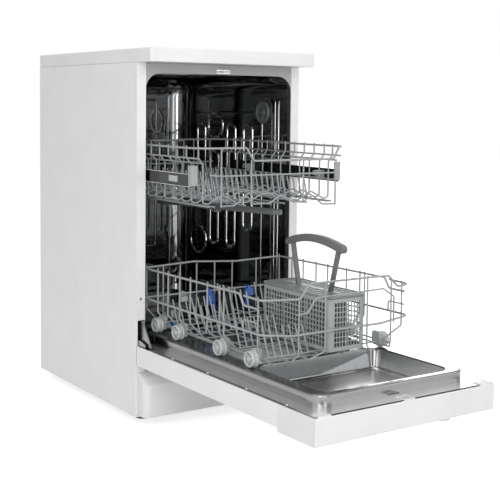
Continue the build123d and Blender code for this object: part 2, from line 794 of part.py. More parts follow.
with BuildPart() as door_liner:
    with BuildSketch(Plane.XY.offset(flange_z)):
        with Locations((0, (-650 + -6) / 2)):
            Rectangle(2 * half - 3, 644)
    extrude(amount=skin)
    with BuildSketch(Plane.XY.offset(flange_z)):
        with Locations((0, (liner_tip - 6) / 2)):
            Rectangle(2 * liner_half, -6 - liner_tip)
    extrude(amount=liner_top - flange_z)
    corner_edges = door_liner.edges().filter_by(Axis.Z).filter_by(
        lambda e: abs(abs(e.center().X) - liner_half) < 1 and e.center().Y < -600
    )
    fillet(corner_edges, radius=liner_corner)
    fillet(door_liner.faces().sort_by(Axis.Z)[-1].edges(), radius=4)
    with BuildSketch(Plane.XY.offset(flange_z - 0.1)):
        with Locations((0, (liner_tip + skin - 7) / 2)):
            RectangleRounded(2 * (liner_half - skin), -7 - liner_tip - skin, liner_corner - skin)
    extrude(amount=liner_top - skin - flange_z, mode=Mode.SUBTRACT)
    add(recess_pocket(skin, recess_floor, 9))
    with BuildSketch(Plane.XY.offset(liner_top)):
        with Locations((0, (recess_back + recess_front) / 2)):
            RectangleRounded(
                2 * (recess_half + recess_lip), recess_back - recess_front + 2 * recess_lip,
                liner_corner - 6 + recess_lip,
            )
    extrude(amount=-recess_lip - 1)
    add(recess_pocket(0, recess_floor + skin, 8), mode=Mode.SUBTRACT)
    lip = door_liner.edges().group_by(Axis.Z)[-1].filter_by(
        lambda e: abs(e.center().X) < recess_half + 1 and recess_front - 1 < e.center().Y < recess_back + 1
    )
    fillet(lip, radius=recess_lip - 0.8)
    with BuildSketch(Plane.XY.offset(liner_top - 6)):
        with Locations(dispenser_centre):
            Rectangle(dispenser_box[1] - dispenser_box[0] - 8, dispenser_box[3] - dispenser_box[2] - 8)
    extrude(amount=10, mode=Mode.SUBTRACT)
    for side in (-1, 1):
        x0, x1 = sorted((side * 207, side * half))
        add(plate(x0, x1, -58, 0, flange_z - 1, flange_z + 2), mode=Mode.SUBTRACT)
        x0, x1 = sorted((side * 186, side * 217))
        add(plate(x0, x1, -655, -633, flange_z - 1, flange_z + 2), mode=Mode.SUBTRACT)
    add(plate(latch_x - 14, latch_x + 14, -655, -626, flange_z - 1, flange_z + 2), mode=Mode.SUBTRACT)
    with BuildSketch(Plane.XY.offset(flange_z - 1)):
        with Locations(*[(x, y) for x in (-door_screw_x, door_screw_x) for y in door_screw_y]):
            Circle(screw_hole)
    extrude(amount=3, mode=Mode.SUBTRACT)
keep(door_liner.part, "door_liner")

# Control fascia on the top edge of the door, with a finger recess in its face
fascia_bottom = door_bottom - fascia_drop
knob_place = (128.0, -606.0)
button_places = ((-150.0, -604.0), (-112.0, -604.0))
grip_box = (-62.0, 62.0, -652.0, -606.0)
with BuildPart() as control_fascia:
    with BuildSketch(Plane.XY.offset(fascia_bottom)):
        with Locations((0, (door_tip + panel_end) / 2)):
            Rectangle(2 * half, fascia_length - 0.4)
    extrude(amount=door_edge - fascia_bottom)
    fillet(control_fascia.edges().filter_by(Axis.X).group_by(Axis.Y)[0], radius=3)
    with BuildSketch(Plane.XY.offset(fascia_bottom + 2.6)):
        with Locations((0, (door_tip + panel_end) / 2)):
            Rectangle(2 * half - 5, fascia_length - 5.2)
    extrude(amount=80, mode=Mode.SUBTRACT)
    add(
        plate(-half + 6, half - 6, panel_end - 4, panel_end + 1, fascia_bottom + 20, door_edge + 1),
        mode=Mode.SUBTRACT,
    )
    for side in (-1, 1):
        x0, x1 = sorted((side * 187, side * 216))
        add(plate(x0, x1, door_tip + 2, -634, door_edge - 4, door_edge + 2.6))
    with BuildSketch(Plane.XY.offset(fascia_bottom)):
        with Locations(((grip_box[0] + grip_box[1]) / 2, -628)):
            RectangleRounded(132, 48, 10)
    extrude(amount=16)
    with BuildSketch(Plane.XY.offset(fascia_bottom - 1)):
        with Locations(((grip_box[0] + grip_box[1]) / 2, -627)):
            RectangleRounded(126, 42, 8)
    extrude(amount=14.8, mode=Mode.SUBTRACT)
    with BuildSketch(Plane.XY.offset(fascia_bottom - 1)):
        with Locations(knob_place):
            Circle(5.2)
        with Locations(*button_places):
            SlotOverall(24.6, 12.6)
        with Locations((knob_place[0] - 46, -590)):
            with GridLocations(0, 8, 1, 4):
                Circle(1.6)
    extrude(amount=6, mode=Mode.SUBTRACT)
keep(control_fascia.part, "control_fascia")

with BuildPart() as programme_knob:
    with BuildSketch(Plane.XY.offset(fascia_bottom - 16)):
        with Locations(knob_place):
            Circle(19)
    extrude(amount=15.6)
    fillet(programme_knob.edges().group_by(Axis.Z)[0], radius=2)
    with BuildSketch(Plane.XY.offset(fascia_bottom - 16)):
        with Locations((knob_place[0], knob_place[1] - 11)):
            Rectangle(2, 12)
    extrude(amount=0.8, mode=Mode.SUBTRACT)
    with BuildSketch(Plane.XY.offset(fascia_bottom - 1)):
        with Locations(knob_place):
            Circle(5.12)
    extrude(amount=14)
keep(programme_knob.part, "programme_knob")

for place, name in zip(button_places, ("power_button", "start_button")):
    with BuildPart() as button:
        with BuildSketch(Plane.XY.offset(fascia_bottom - 3.4)):
            with Locations(place):
                SlotOverall(24, 12)
        extrude(amount=10)
        fillet(button.edges().group_by(Axis.Z)[0], radius=1.2)
    keep(button.part, name)

# Door latch at the middle of the tip, with its sprung hook
with BuildPart() as door_latch:
    add(plate(latch_x - 13.6, latch_x + 13.6, -652.8, -627, 152, 185.2))
    add(plate(latch_x - 9.6, latch_x + 9.6, -648.5, -635, 160, 190), mode=Mode.SUBTRACT)
keep(door_latch.part, "door_latch")

with BuildPart() as latch_hook:
    add(plate(latch_x - 9, latch_x + 9, -640.6, -636.2, 165, 184.6))
    add(plate(latch_x - 9, latch_x + 9, -642.6, -640.6, 180.6, 184.6))
    fillet(latch_hook.edges().filter_by(Axis.X).group_by(Axis.Z)[-1], radius=1)
keep(latch_hook.part, "latch_hook")

# Detergent dispenser set in the liner, its sliding lid and the rinse-aid cap
cup_box = (-112.0, -42.0, -345.0, -276.0)
cap_place = (48.0, -308.0)
with BuildPart() as dispenser_body:
    with BuildSketch(Plane.XY.offset(liner_top + 0.1)):
        with Locations(dispenser_centre):
            RectangleRounded(dispenser_box[1] - dispenser_box[0], dispenser_box[3] - dispenser_box[2], 10)
    extrude(amount=3)
    fillet(dispenser_body.edges().group_by(Axis.Z)[-1], radius=1.2)
    with BuildSketch(Plane.XY.offset(166)):
        with Locations(dispenser_centre):
            Rectangle(dispenser_box[1] - dispenser_box[0] - 10, dispenser_box[3] - dispenser_box[2] - 10)
    extrude(amount=liner_top + 1 - 166)
    with BuildSketch(Plane.XY.offset(174)):
        with Locations(((cup_box[0] + cup_box[1]) / 2, (cup_box[2] + cup_box[3]) / 2)):
            RectangleRounded(cup_box[1] - cup_box[0], cup_box[3] - cup_box[2], 10)
    extrude(amount=60, mode=Mode.SUBTRACT)
    with BuildSketch(Plane.XY.offset(194)):
        with Locations(cap_place):
            Circle(19.2)
    extrude(amount=30, mode=Mode.SUBTRACT)
keep(dispenser_body.part, "dispenser_body")

with BuildPart() as dispenser_lid:
    with BuildSketch(Plane.XY.offset(liner_top + 3.3)):
        with Locations(((cup_box[0] + cup_box[1]) / 2, (cup_box[2] + cup_box[3]) / 2)):
            RectangleRounded(cup_box[1] - cup_box[0] + 8, cup_box[3] - cup_box[2] + 8, 8)
    extrude(amount=2.4)
    with BuildSketch(Plane.XY.offset(liner_top + 5.7)):
        with Locations((cup_box[1] - 10, (cup_box[2] + cup_box[3]) / 2)):
            SlotOverall(50, 6, rotation=90)
    extrude(amount=2)
    fillet(dispenser_lid.edges().group_by(Axis.Z)[-1], radius=0.8)
keep(dispenser_lid.part, "dispenser_lid")

with BuildPart() as rinse_aid_cap:
    with BuildSketch(Plane.XY.offset(194.3)):
        with Locations(cap_place):
            Circle(19.15)
    extrude(amount=17.2)
    with BuildSketch(Plane.XY.offset(211.5)):
        with Locations(cap_place):
            SlotOverall(34, 8)
    extrude(amount=4)
    fillet(rinse_aid_cap.edges().group_by(Axis.Z)[-1], radius=1)
keep(rinse_aid_cap.part, "rinse_aid_cap")

# Hinge arms fixed in the door: the lever stands up in front of the cabinet slot
with BuildPart() as hinge_arm:
    with BuildSketch(Plane(origin=(-213.6, 0, 0), x_dir=(0, 1, 0), z_dir=(1, 0, 0))):
        with BuildLine():
            Polyline(
                (-230, 146), (-230, 176), (-50, 176), (-50, 186), (-9, 239), (-3, 239),
                (-1.2, 232), (-1.2, 170), (-6, 146), close=True,
            )
        make_face()
        with Locations((pivot_y, pivot_z)):
            Circle(4.07, mode=Mode.SUBTRACT)
    extrude(amount=3.2)
    add(plate(-213.6, -206, -230, -60, 146, 148))
keep(group(both_sides(hinge_arm.part)), "hinge_arms")

liner_screw = pan_screw(8)
door_screws = []
for side in (-1, 1):
    for y in door_screw_y:
        door_screws.append(Pos(side * door_screw_x, y, flange_z + skin + 0.05) * liner_screw)
keep(group(door_screws), "door_screws")

# Lower basket: welded wire in flat panels, stations along Y shared by both sides
side_stations = (20.0, -33.0, -78.0, -128.0, -172.0, -240.0, -287.0, -303.0)
corner_station = -424.0
floor_front = -388.0
upright_x = low_half - 3.7
front_uprights = (-160.0, -102.0, -33.0, 20.0, 77.0, 142.0)
front_rod_tops = (351.0, 346.0, 376.0, 377.0, 378.0, 366.0)
back_uprights = (-140.0, -95.0, -50.0, 0.0, 50.0, 120.0)
floor_runs = (-150.0, -108.0, -62.0, -16.0, 28.0, 95.0, 150.0)
run_drop = 3.4
bar_x = 157.3
bar_z = 227.0
tine_lean = 24.0
plate_tine_tall = 56.0
plate_rows = (-33.0, -128.0, -287.0, floor_front)
row_break = -22.0


def tine(x, y, foot, tall, lean):
    """One upright tine with a rounded tip, leaning towards the back."""
    tip = (x, y + lean, foot + tall)
    return [rod((x, y, foot), tip, thin_wire), Pos(*tip) * Sphere(thin_wire, mode=Mode.PRIVATE)]


def tine_row(x, stations, foot, tall, lean):
    """A rod along Y with tines on it."""
    row = [rod((x, min(stations) - 8, foot), (x, max(stations) + 8, foot), thin_wire)]
    for y in stations:
        row += tine(x, y, foot, tall, lean)
    return weld(row)


def cross_row(y, stations):
    """The left half of a floor wire, with plate tines on it."""
    row = [rod((-low_floor_half, y, low_floor), (row_break - 0.2, y, low_floor), thin_wire)]
    for x in stations:
        row += tine(x, y, low_floor, plate_tine_tall, tine_lean)
    return weld(row)


side_top = wire(
    [(-low_half, 24, low_rim), (-low_half, -365, low_rim + 2),
     (-low_half, -380, 335), (-low_half, -428, 335)],
    rim_wire, 5,
)
side_middle = rod((-low_half, 24, low_mid), (-low_half, -428, low_mid), rim_wire)
side_short = wire(
    [(-low_half, -378, low_mid), (-low_half, -378, 307), (-low_half, -427, 307)], thin_wire, 5,
)
side_uprights = [
    rod((-upright_x, y, low_bend), (-upright_x, y, low_rim + 5), thin_wire) for y in side_stations
]
corner_upright = rod(
    (-upright_x, corner_station, low_bend), (-upright_x, corner_station, low_rim + 2), thin_wire,
)
corner_return = rod((-low_half, -382, low_rim), (-low_half, -428, low_rim - 1), rim_wire)
left_side = weld([side_top, side_middle, side_short, corner_return, corner_upright] + side_uprights)
left_slope = weld(
    [rod((-upright_x, y, low_bend), (-low_floor_half, y, low_floor), thin_wire) for y in side_stations]
    + [rod((-bar_x, 22, bar_z), (-bar_x, -420, bar_z), thin_wire)]
)
corner_slope = rod(
    (-upright_x, corner_station, low_bend), (-low_floor_half, floor_front - 8, low_floor), thin_wire,
)
floor_grid = weld(
    [rod((-low_floor_half, y, low_floor), (low_floor_half, y, low_floor), thin_wire)
     for y in side_stations if y not in plate_rows]
    + [rod((x, 24, low_floor - run_drop), (x, -440, low_floor - run_drop), thin_wire) for x in floor_runs]
)
cross_rows = [cross_row(y, spaced(-134, -35, 7)) for y in plate_rows]
for y in plate_rows:
    cross_rows.append(rod((row_break + 0.2, y, low_floor), (low_floor_half, y, low_floor), thin_wire))
front_top = wire(
    [(-low_half, -427, low_rim - 1), (-low_half, low_front, low_rim - 1), (-100, low_front, 345),
     (-72, low_front, 372), (68, low_front, 376), (134, low_front, 375), (160, low_front, 350),
     (low_half, low_front, low_rim - 1), (low_half, -427, low_rim - 1)],
    rim_wire, 8,
)
front_second = wire(
    [(-110, low_front, 316), (-88, low_front, 317), (-40, low_front, 345), (120, low_front, 351),
     (150, low_front, 330), (150, low_front, 277)],
    thin_wire, 7,
)
front_third = wire(
    [(-low_half, -427, low_mid), (-low_half, low_front, low_mid), (-115, low_front, 276),
     (115, low_front, 277), (low_half, low_front, low_mid), (low_half, -427, low_mid)],
    rim_wire, 8,
)
front_rods = [
    rod((x, low_front, low_floor - 3), (x, low_front, top), thin_wire)
    for x, top in zip(front_uprights, front_rod_tops)
]
front_grid = weld([front_top, front_second, front_third] + front_rods)
back_top = wire(
    [(-188, low_back, low_rim), (-60, low_back, 359), (60, low_back, 351), (188, low_back, low_rim - 2)],
    rim_wire, 20,
)
back_rods = [rod((x, low_back, low_floor - 3), (x, low_back, 353), thin_wire) for x in back_uprights]
back_grid = weld([back_top, rod((-188, low_back, low_mid), (188, low_back, low_mid), thin_wire)] + back_rods)
right_tines = tine_row(95.0, spaced(-172, -28, 7), low_floor + run_drop, 72, tine_lean)
lower_panels = [
    *both_sides(left_side), *both_sides(left_slope), *both_sides(corner_slope),
    floor_grid, front_grid, back_grid, *cross_rows, right_tines,
]
keep(group(lower_panels), "lower_basket")

# Folding tine row between the plates and the cutlery basket
fold_x = -16.0
fold_z = 232.4
fold_tall = 75.0
fold_row = tine_row(fold_x, spaced(-157, -37, 6), fold_z, fold_tall, tine_lean)
keep(fold_row, "fold_tines")

# Clips that hold the folding row, and the lever clips on the back wires
wire_bore = thin_wire + 0.07
with BuildPart() as saddle:
    add(plate(fold_x - 5, fold_x + 5, -6, 6, 217, 238))
    with BuildSketch(facing(-7)):
        with Locations((fold_x, fold_z), (fold_x, low_floor - run_drop)):
            Circle(wire_bore)
    extrude(amount=-14, mode=Mode.SUBTRACT)


def lever_clip(x, z, half, lever):
    """A flat clip on the back wire with a lever below it, to one side."""
    with BuildPart() as clip:
        add(plate(x - 12, x + 12, low_back - 9, low_back - 5, z - half, z + half))
        add(plate(x - 5, x + 5, low_back - 5.2, low_back + 3.6, low_mid - 4, low_mid + 3.6))
        add(plate(x - 5, x + 5, low_back - 9, low_back - 5, z, low_mid + 3.6))
        with BuildSketch(Plane(origin=(x - 14, 0, 0), x_dir=(0, 1, 0), z_dir=(1, 0, 0))):
            with Locations((low_back, low_mid)):
                Circle(wire_bore)
        extrude(amount=28, mode=Mode.SUBTRACT)
        x0, x1 = sorted((x + lever * 3, x + lever * 12))
        add(plate(x0, x1, low_back - 12, low_back - 8, z - half - 20, z - half + 9))
    return clip.part


tine_clips = [Pos(0, y, 0) * saddle.part for y in (-145.0, -49.0)]
tine_clips += [lever_clip(fold_x, 266.0, 12.0, 1), lever_clip(95.0, 274.0, 9.0, -1)]
keep(group(tine_clips), "tine_clips")

# Wheel brackets clipped to the side bars, with stub axles
axle = 3.2
with BuildPart() as wheel_bracket:
    with BuildSketch(Plane(origin=(153.6, 0, 0), x_dir=(0, 1, 0), z_dir=(1, 0, 0))):
        with Locations((0, 230)):
            RectangleRounded(24, 30, 5)
    extrude(amount=7.6)
    with BuildSketch(Plane(origin=(161, 0, 0), x_dir=(0, 1, 0), z_dir=(1, 0, 0))):
        with Locations((0, wheel_z)):
            Circle(6)
    extrude(amount=1.6)
    with BuildSketch(Plane(origin=(161, 0, 0), x_dir=(0, 1, 0), z_dir=(1, 0, 0))):
        with Locations((0, wheel_z)):
            Circle(axle)
    extrude(amount=17.2)
    with BuildSketch(facing(-13)):
        with Locations((bar_x, bar_z)):
            Circle(wire_bore)
    extrude(amount=-26, mode=Mode.SUBTRACT)
wheel_brackets = []
for y in wheel_stations:
    wheel_brackets += both_sides(Pos(0, y, 0) * wheel_bracket.part)
keep(group(wheel_brackets), "wheel_brackets")

# Spoked wheels, one node for each pair on a line across the basket
with BuildPart() as wheel:
    face = Plane(origin=(wheel_inner + 0.2, 0, 0), x_dir=(0, 1, 0), z_dir=(1, 0, 0))
    with BuildSketch(face):
        Circle(wheel_radius)
    extrude(amount=3.4)
    with BuildSketch(face.offset(3.4)):
        Circle(wheel_radius - 1.6)
    extrude(amount=12.4)
    fillet(wheel.edges().group_by(Axis.X)[-1], radius=1.2)
    with BuildSketch(face.offset(9)):
        Circle(12.8)
        Circle(6, mode=Mode.SUBTRACT)
        with PolarLocations(9.4, 5):
            Rectangle(9, 2.2, mode=Mode.SUBTRACT)
    extrude(amount=10, mode=Mode.SUBTRACT)
    with BuildSketch(face.offset(-1)):
        Circle(axle + 0.05)
    extrude(amount=20, mode=Mode.SUBTRACT)
for number, y in enumerate(wheel_stations, start=1):
    placed = Pos(0, y, wheel_z) * wheel.part
    keep(group(both_sides(placed)), f"lower_wheels_{number}")

# Cutlery basket with cells, a slotted lid and a carrying handle
cut_box = (-17.0, 79.0, -432.0, -197.0)
cut_floor = 229.0
cut_top = 337.0
cut_wall = 1.8
cut_x = (cut_box[0] + cut_box[1]) / 2
cut_y = (cut_box[2] + cut_box[3]) / 2
cut_length = cut_box[3] - cut_box[2]
cut_width = cut_box[1] - cut_box[0]
with BuildPart() as cutlery_basket:
    with BuildSketch(Plane.XY.offset(cut_floor)):
        with Locations((cut_x, cut_y)):
            RectangleRounded(cut_width, cut_length, 10)
    extrude(amount=cut_top - cut_floor)
    with BuildSketch(Plane.XY.offset(cut_floor + 2)):
        with Locations((cut_x, cut_y)):
            RectangleRounded(cut_width - 2 * cut_wall, cut_length - 2 * cut_wall, 10 - cut_wall)
    extrude(amount=cut_top, mode=Mode.SUBTRACT)
    for y in (cut_y - 39, cut_y + 39):
        add(plate(cut_box[0] + 1, cut_box[1] - 1, y - 0.9, y + 0.9, cut_floor + 1, cut_top - 8))
    add(plate(cut_x - 0.9, cut_x + 0.9, cut_box[2] + 1, cut_box[3] - 1, cut_floor + 1, cut_top - 8))
    for x in (cut_box[0] - 2, cut_box[1] - 3):
        with BuildSketch(Plane(origin=(x, cut_y, 0), x_dir=(0, 1, 0), z_dir=(1, 0, 0))):
            with Locations((0, (cut_floor + cut_top) / 2)):
                with GridLocations(39, 48, 6, 2):
                    Rectangle(31, 40)
        extrude(amount=5, mode=Mode.SUBTRACT)
    for y in (cut_box[2] - 2, cut_box[3] - 3):
        with BuildSketch(facing(y)):
            with Locations((cut_x, (cut_floor + cut_top) / 2)):
                with GridLocations(42, 48, 2, 2):
                    Rectangle(31, 40)
        extrude(amount=-5, mode=Mode.SUBTRACT)
keep(cutlery_basket.part, "cutlery_basket")

with BuildPart() as cutlery_lid:
    with BuildSketch(Plane.XY.offset(cut_top + 0.3)):
        with Locations((cut_x, cut_y)):
            RectangleRounded(cut_width + 2, cut_length + 2, 11)
            for side in (-1, 1):
                with Locations((cut_x + side * 25, cut_y)):
                    with GridLocations(17, 19, 2, 11):
                        RectangleRounded(13, 15, 3, mode=Mode.SUBTRACT)
    extrude(amount=5)
keep(cutlery_lid.part, "cutlery_lid")

handle_foot = cut_top + 5.6
handle_x = cut_x - 3
with BuildPart() as cutlery_handle:
    with BuildSketch(Plane(origin=(handle_x - 7, 0, 0), x_dir=(0, 1, 0), z_dir=(1, 0, 0))):
        with BuildLine():
            Spline((-418, 443), (-364, 454), (-312, 456), (-262, 448), (-232, 438))
            ThreePointArc((-232, 438), (-227, 431), (-231, 424))
            Spline((-231, 424), (-262, 432), (-312, 439.5), (-362, 437), (-414, 426))
            ThreePointArc((-414, 426), (-425, 433), (-418, 443))
        make_face()
    extrude(amount=14)
    fillet(cutlery_handle.edges().filter_by(lambda e: abs(e.center().X - handle_x) > 6.9), radius=2)
    with BuildSketch(Plane(origin=(handle_x - 5.5, 0, 0), x_dir=(0, 1, 0), z_dir=(1, 0, 0))):
        for foot, head in ((-380, -405), (-270, -248)):
            with BuildLine():
                Polyline(
                    (foot - 2.5, handle_foot), (head - 2.5, 432), (head + 2.5, 432),
                    (foot + 2.5, handle_foot), close=True,
                )
            make_face()
    extrude(amount=11)
keep(cutlery_handle.part, "cutlery_handle")

# Upper basket: joggled sides hang over the rails
up_stations = spaced(-196.0, 272.0, 9)
up_runs = (-152.0, -92.0, -30.0, 36.0, 92.0, 152.0)
pipe_clear_y = 252.0
pipe_clear_x = 48.0
upper_left = weld(
    [rod((-up_half, up_back - 4, up_rim), (-up_half, up_front + 4, up_rim), rim_wire),
     rod((-up_half, up_back - 4, 614), (-up_half, up_front + 4, 614), thin_wire)]
    + [rod((-up_half + 3.6, y, up_joggle_top), (-up_half + 3.6, y, up_rim + 3), thin_wire)
       for y in up_stations]
)
upper_joggle = weld(
    [rod((-up_half + 3.6, y, up_joggle_top), (-up_inner_half, y, up_joggle_bottom), thin_wire)
     for y in up_stations]
    + [rod((-up_inner_half - 6, up_back - 6, 603.5), (-up_inner_half - 6, up_front + 6, 603.5), thin_wire)]
)
upper_low_side = weld(
    [rod((-up_inner_half, y, up_joggle_bottom), (-up_inner_half, y, up_floor_side), thin_wire)
     for y in up_stations]
    + [rod((-up_inner_half + 3.4, up_back - 6, 560), (-up_inner_half + 3.4, up_front + 6, 560), thin_wire)]
)
upper_slope = weld(
    [rod((-up_inner_half, y, up_floor_side), (-up_floor_half, y, up_floor), thin_wire) for y in up_stations]
    + [rod((-163, up_back - 6, 511.4), (-163, up_front + 6, 511.4), thin_wire)]
)
upper_floor = weld(
    [rod((-up_floor_half, y, up_floor), (up_floor_half, y, up_floor), thin_wire) for y in up_stations[:-1]]
    + [rod((x, pipe_clear_y, up_floor - run_drop), (x, up_front, up_floor - run_drop), thin_wire)
       for x in up_runs]
)
upper_front_top = wire(
    [(-188, up_front, up_rim), (-72, up_front, up_rim), (-54, up_front, 607), (166, up_front, 607),
     (184, up_front, 632), (188, up_front, up_rim)],
    rim_wire, 3,
)
upper_front_third = wire(
    [(-170, up_front, 600), (-170, up_front, 576), (170, up_front, 576), (170, up_front, 600)], thin_wire, 6
)
upper_front = weld(
    [upper_front_top, upper_front_third]
    + [rod((x, up_front, up_floor - 3), (x, up_front, top), thin_wire)
       for x, top in zip((-152, -122, -92, -30, 36, 92, 152), (636, 636, 636, 608, 608, 608, 608))]
)
upper_back = []
for side in (-1, 1):
    outer, inner = side * 188, side * pipe_clear_x
    upper_back.append(weld(
        [rod((outer, up_back, up_rim), (inner, up_back, up_rim), rim_wire),
         rod((side * 170, up_back, 576), (inner, up_back, 576), thin_wire),
         rod((side * 150, up_back, up_floor - 3), (inner, up_back, up_floor - 3), thin_wire)]
        + [rod((side * x, up_back, up_floor - 3), (side * x, up_back, up_rim), thin_wire)
           for x in (150, 100, 50)]
    ))
    upper_back.append(weld(
        [rod((inner, up_back, z), (inner, pipe_clear_y, z), r)
         for z, r in ((up_rim, rim_wire), (576, thin_wire), (up_floor + 0.5, thin_wire))]
        + [rod((inner, pipe_clear_y, up_floor - 3), (inner, pipe_clear_y, up_rim), thin_wire)]
    ))
upper_back.append(weld(
    [rod((-pipe_clear_x, pipe_clear_y, z), (pipe_clear_x, pipe_clear_y, z), r)
     for z, r in ((up_rim, rim_wire), (576, thin_wire), (up_floor + 0.5, thin_wire))]
    + [rod((x, pipe_clear_y, up_floor), (x, pipe_clear_y, up_rim), thin_wire) for x in (-24, 24)]
))
upper_rows = []
for x, tall in ((-122, 34), (-62, 44), (62, 44), (122, 34)):
    upper_rows.append(tine_row(x, spaced(-176, 230, 12), up_floor + run_drop, tall, 0))
upper_panels = [
    *both_sides(upper_left), *both_sides(upper_joggle), *both_sides(upper_low_side), *both_sides(upper_slope),
    upper_floor, upper_front, *upper_back, *upper_rows,
]
keep(group(upper_panels), "upper_basket")

# Channel rails of the upper basket, open towards the walls
rail_skin = 1.2
with BuildPart() as rail:
    add(plate(rail_inner, rail_outer, rail_front, rail_back, rail_bottom, rail_top))
    add(
        plate(rail_inner + rail_skin, rail_outer + 1, rail_front - 1, rail_back + 1,
              rail_bottom + rail_skin, rail_top - rail_skin),
        mode=Mode.SUBTRACT,
    )
keep(group(both_sides(rail.part)), "upper_rails")

# Stops at both rail ends and the hangers that carry each rail on the basket wires
with BuildPart() as rail_stop:
    add(
        plate(rail_inner + 1.5, rail_outer, rail_front + 0.5, rail_front + 8,
              rail_bottom + 1.5, rail_top - 1.5)
    )
    add(plate(184, rail_outer + 0.2, rail_front - 3, rail_front - 0.3, rail_bottom + 4, 599))
    add(plate(rail_inner, rail_outer + 0.2, rail_front - 3, rail_front + 10, rail_top + 0.3, 599))
    add(plate(rail_inner + 1.5, rail_outer, rail_front - 1, rail_front + 1, rail_bottom + 6, rail_top - 1.5))
    add(plate(rail_inner + 1.5, rail_outer, rail_back - 12, rail_back, rail_bottom + 1.5, rail_top - 1.5))
with BuildPart() as hanger:
    add(plate(175.2, rail_inner - 0.2, -6, 6, rail_bottom + 5, rail_top - 5))
    add(plate(169, 175.4, -6, 6, 566, 576))
    with BuildSketch(Plane.XY.offset(560)):
        with Locations((up_inner_half, 0)):
            Circle(wire_bore)
    extrude(amount=30, mode=Mode.SUBTRACT)
stops = both_sides(rail_stop.part)
for y in (up_stations[1], up_stations[6]):
    stops += both_sides(Pos(0, y, 0) * hanger.part)
keep(group(stops), "rail_stops")

# Feed tube under the upper basket, with the spindle of the upper arm
feed_z = 499.8
with BuildPart() as upper_arm_feed:
    add(plate(upper_arm[0] - 8, upper_arm[0] + 8, upper_arm[1], 258, feed_z - 5.5, feed_z + 5.5))
    fillet(upper_arm_feed.edges().filter_by(Axis.Y), radius=4)
    add(disc(upper_arm[0], upper_arm[1], feed_z - 5.9, feed_z + 5.5, 19))
    add(disc(upper_arm[0], upper_arm[1], 476, feed_z, hub_bore - 0.06))
    add(disc(upper_arm[0], upper_arm[1], 474, 479, 11))
    with BuildSketch(facing(254.6)):
        with Locations((upper_arm[0], feed_z)):
            Circle(8.6)
    extrude(amount=-13.4)
    for y in (70.0, 210.0):
        add(plate(-35, 41, y - 7, y + 7, feed_z - 3, feed_z + 1))
        for x in (-30.0, 36.0):
            add(plate(x - 4.5, x + 4.5, y - 7, y + 7, feed_z - 3, 506))
    with BuildSketch(facing(50)):
        with Locations((-30, up_floor - run_drop), (36, up_floor - run_drop)):
            Circle(wire_bore)
    extrude(amount=-180, mode=Mode.SUBTRACT)
keep(upper_arm_feed.part, "upper_arm_feed")

upper_rotor = spray_arm(arm_reach, (-180, -140, -100, -62, 62, 100, 140, 180))
keep(Pos(*upper_arm) * (Rot(0, 0, -76.1) * upper_rotor), "upper_spray_arm")
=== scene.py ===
import math

import bmesh
import bpy
from mathutils import Matrix, Vector


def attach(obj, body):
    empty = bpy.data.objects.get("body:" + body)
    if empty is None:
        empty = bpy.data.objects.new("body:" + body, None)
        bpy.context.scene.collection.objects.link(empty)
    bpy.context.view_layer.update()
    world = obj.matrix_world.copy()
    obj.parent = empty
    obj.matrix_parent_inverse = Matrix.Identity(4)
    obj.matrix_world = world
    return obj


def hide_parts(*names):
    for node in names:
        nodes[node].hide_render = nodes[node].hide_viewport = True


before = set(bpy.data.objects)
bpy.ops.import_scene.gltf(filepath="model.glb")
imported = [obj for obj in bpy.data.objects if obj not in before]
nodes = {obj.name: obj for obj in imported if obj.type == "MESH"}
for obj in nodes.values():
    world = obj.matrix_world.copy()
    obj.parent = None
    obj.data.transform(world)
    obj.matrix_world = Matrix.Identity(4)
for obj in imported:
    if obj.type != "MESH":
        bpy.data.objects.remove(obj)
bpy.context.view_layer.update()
mm = 0.001
print("stage: frame loaded")


def onMillimetres(point):
    return Vector(point) * mm


def spaced(first, last, count):
    return [first + (last - first) * i / (count - 1) for i in range(count)]


def addPiece(name, mesh, body, material):
    # a finished piece: at the origin, riding on its body, with one finish
    piece = bpy.data.objects.new(name, mesh)
    bpy.context.scene.collection.objects.link(piece)
    mesh.materials.clear()
    mesh.materials.append(material)
    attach(piece, body)
    return piece


def addSecondFinish(piece, material, wanted):
    # faces that the test picks, by middle point in millimetres and by normal, take another finish
    mesh = piece.data
    index = len(mesh.materials)
    mesh.materials.append(material)
    for face in mesh.polygons:
        if wanted(face.center / mm, face.normal):
            face.material_index = index


def meshFrom(bm, name, smoothAngle=None, material=None, outward=False):
    # bmesh to mesh: faces turned outwards if asked, soft shading below an angle in degrees
    if outward:
        bmesh.ops.recalc_face_normals(bm, faces=bm.faces)
    mesh = bpy.data.meshes.new(name)
    bm.to_mesh(mesh)
    bm.free()
    if smoothAngle is not None:
        mesh.polygons.foreach_set("use_smooth", [True] * len(mesh.polygons))
        mesh.set_sharp_from_angle(angle=math.radians(smoothAngle))
    if material is not None:
        mesh.materials.append(material)
    return mesh


def joinUp(tree, links):
    # node links as (from node, its output, to node, its input)
    for source, output, target, socket in links:
        tree.links.new(source.outputs[output], target.inputs[socket])


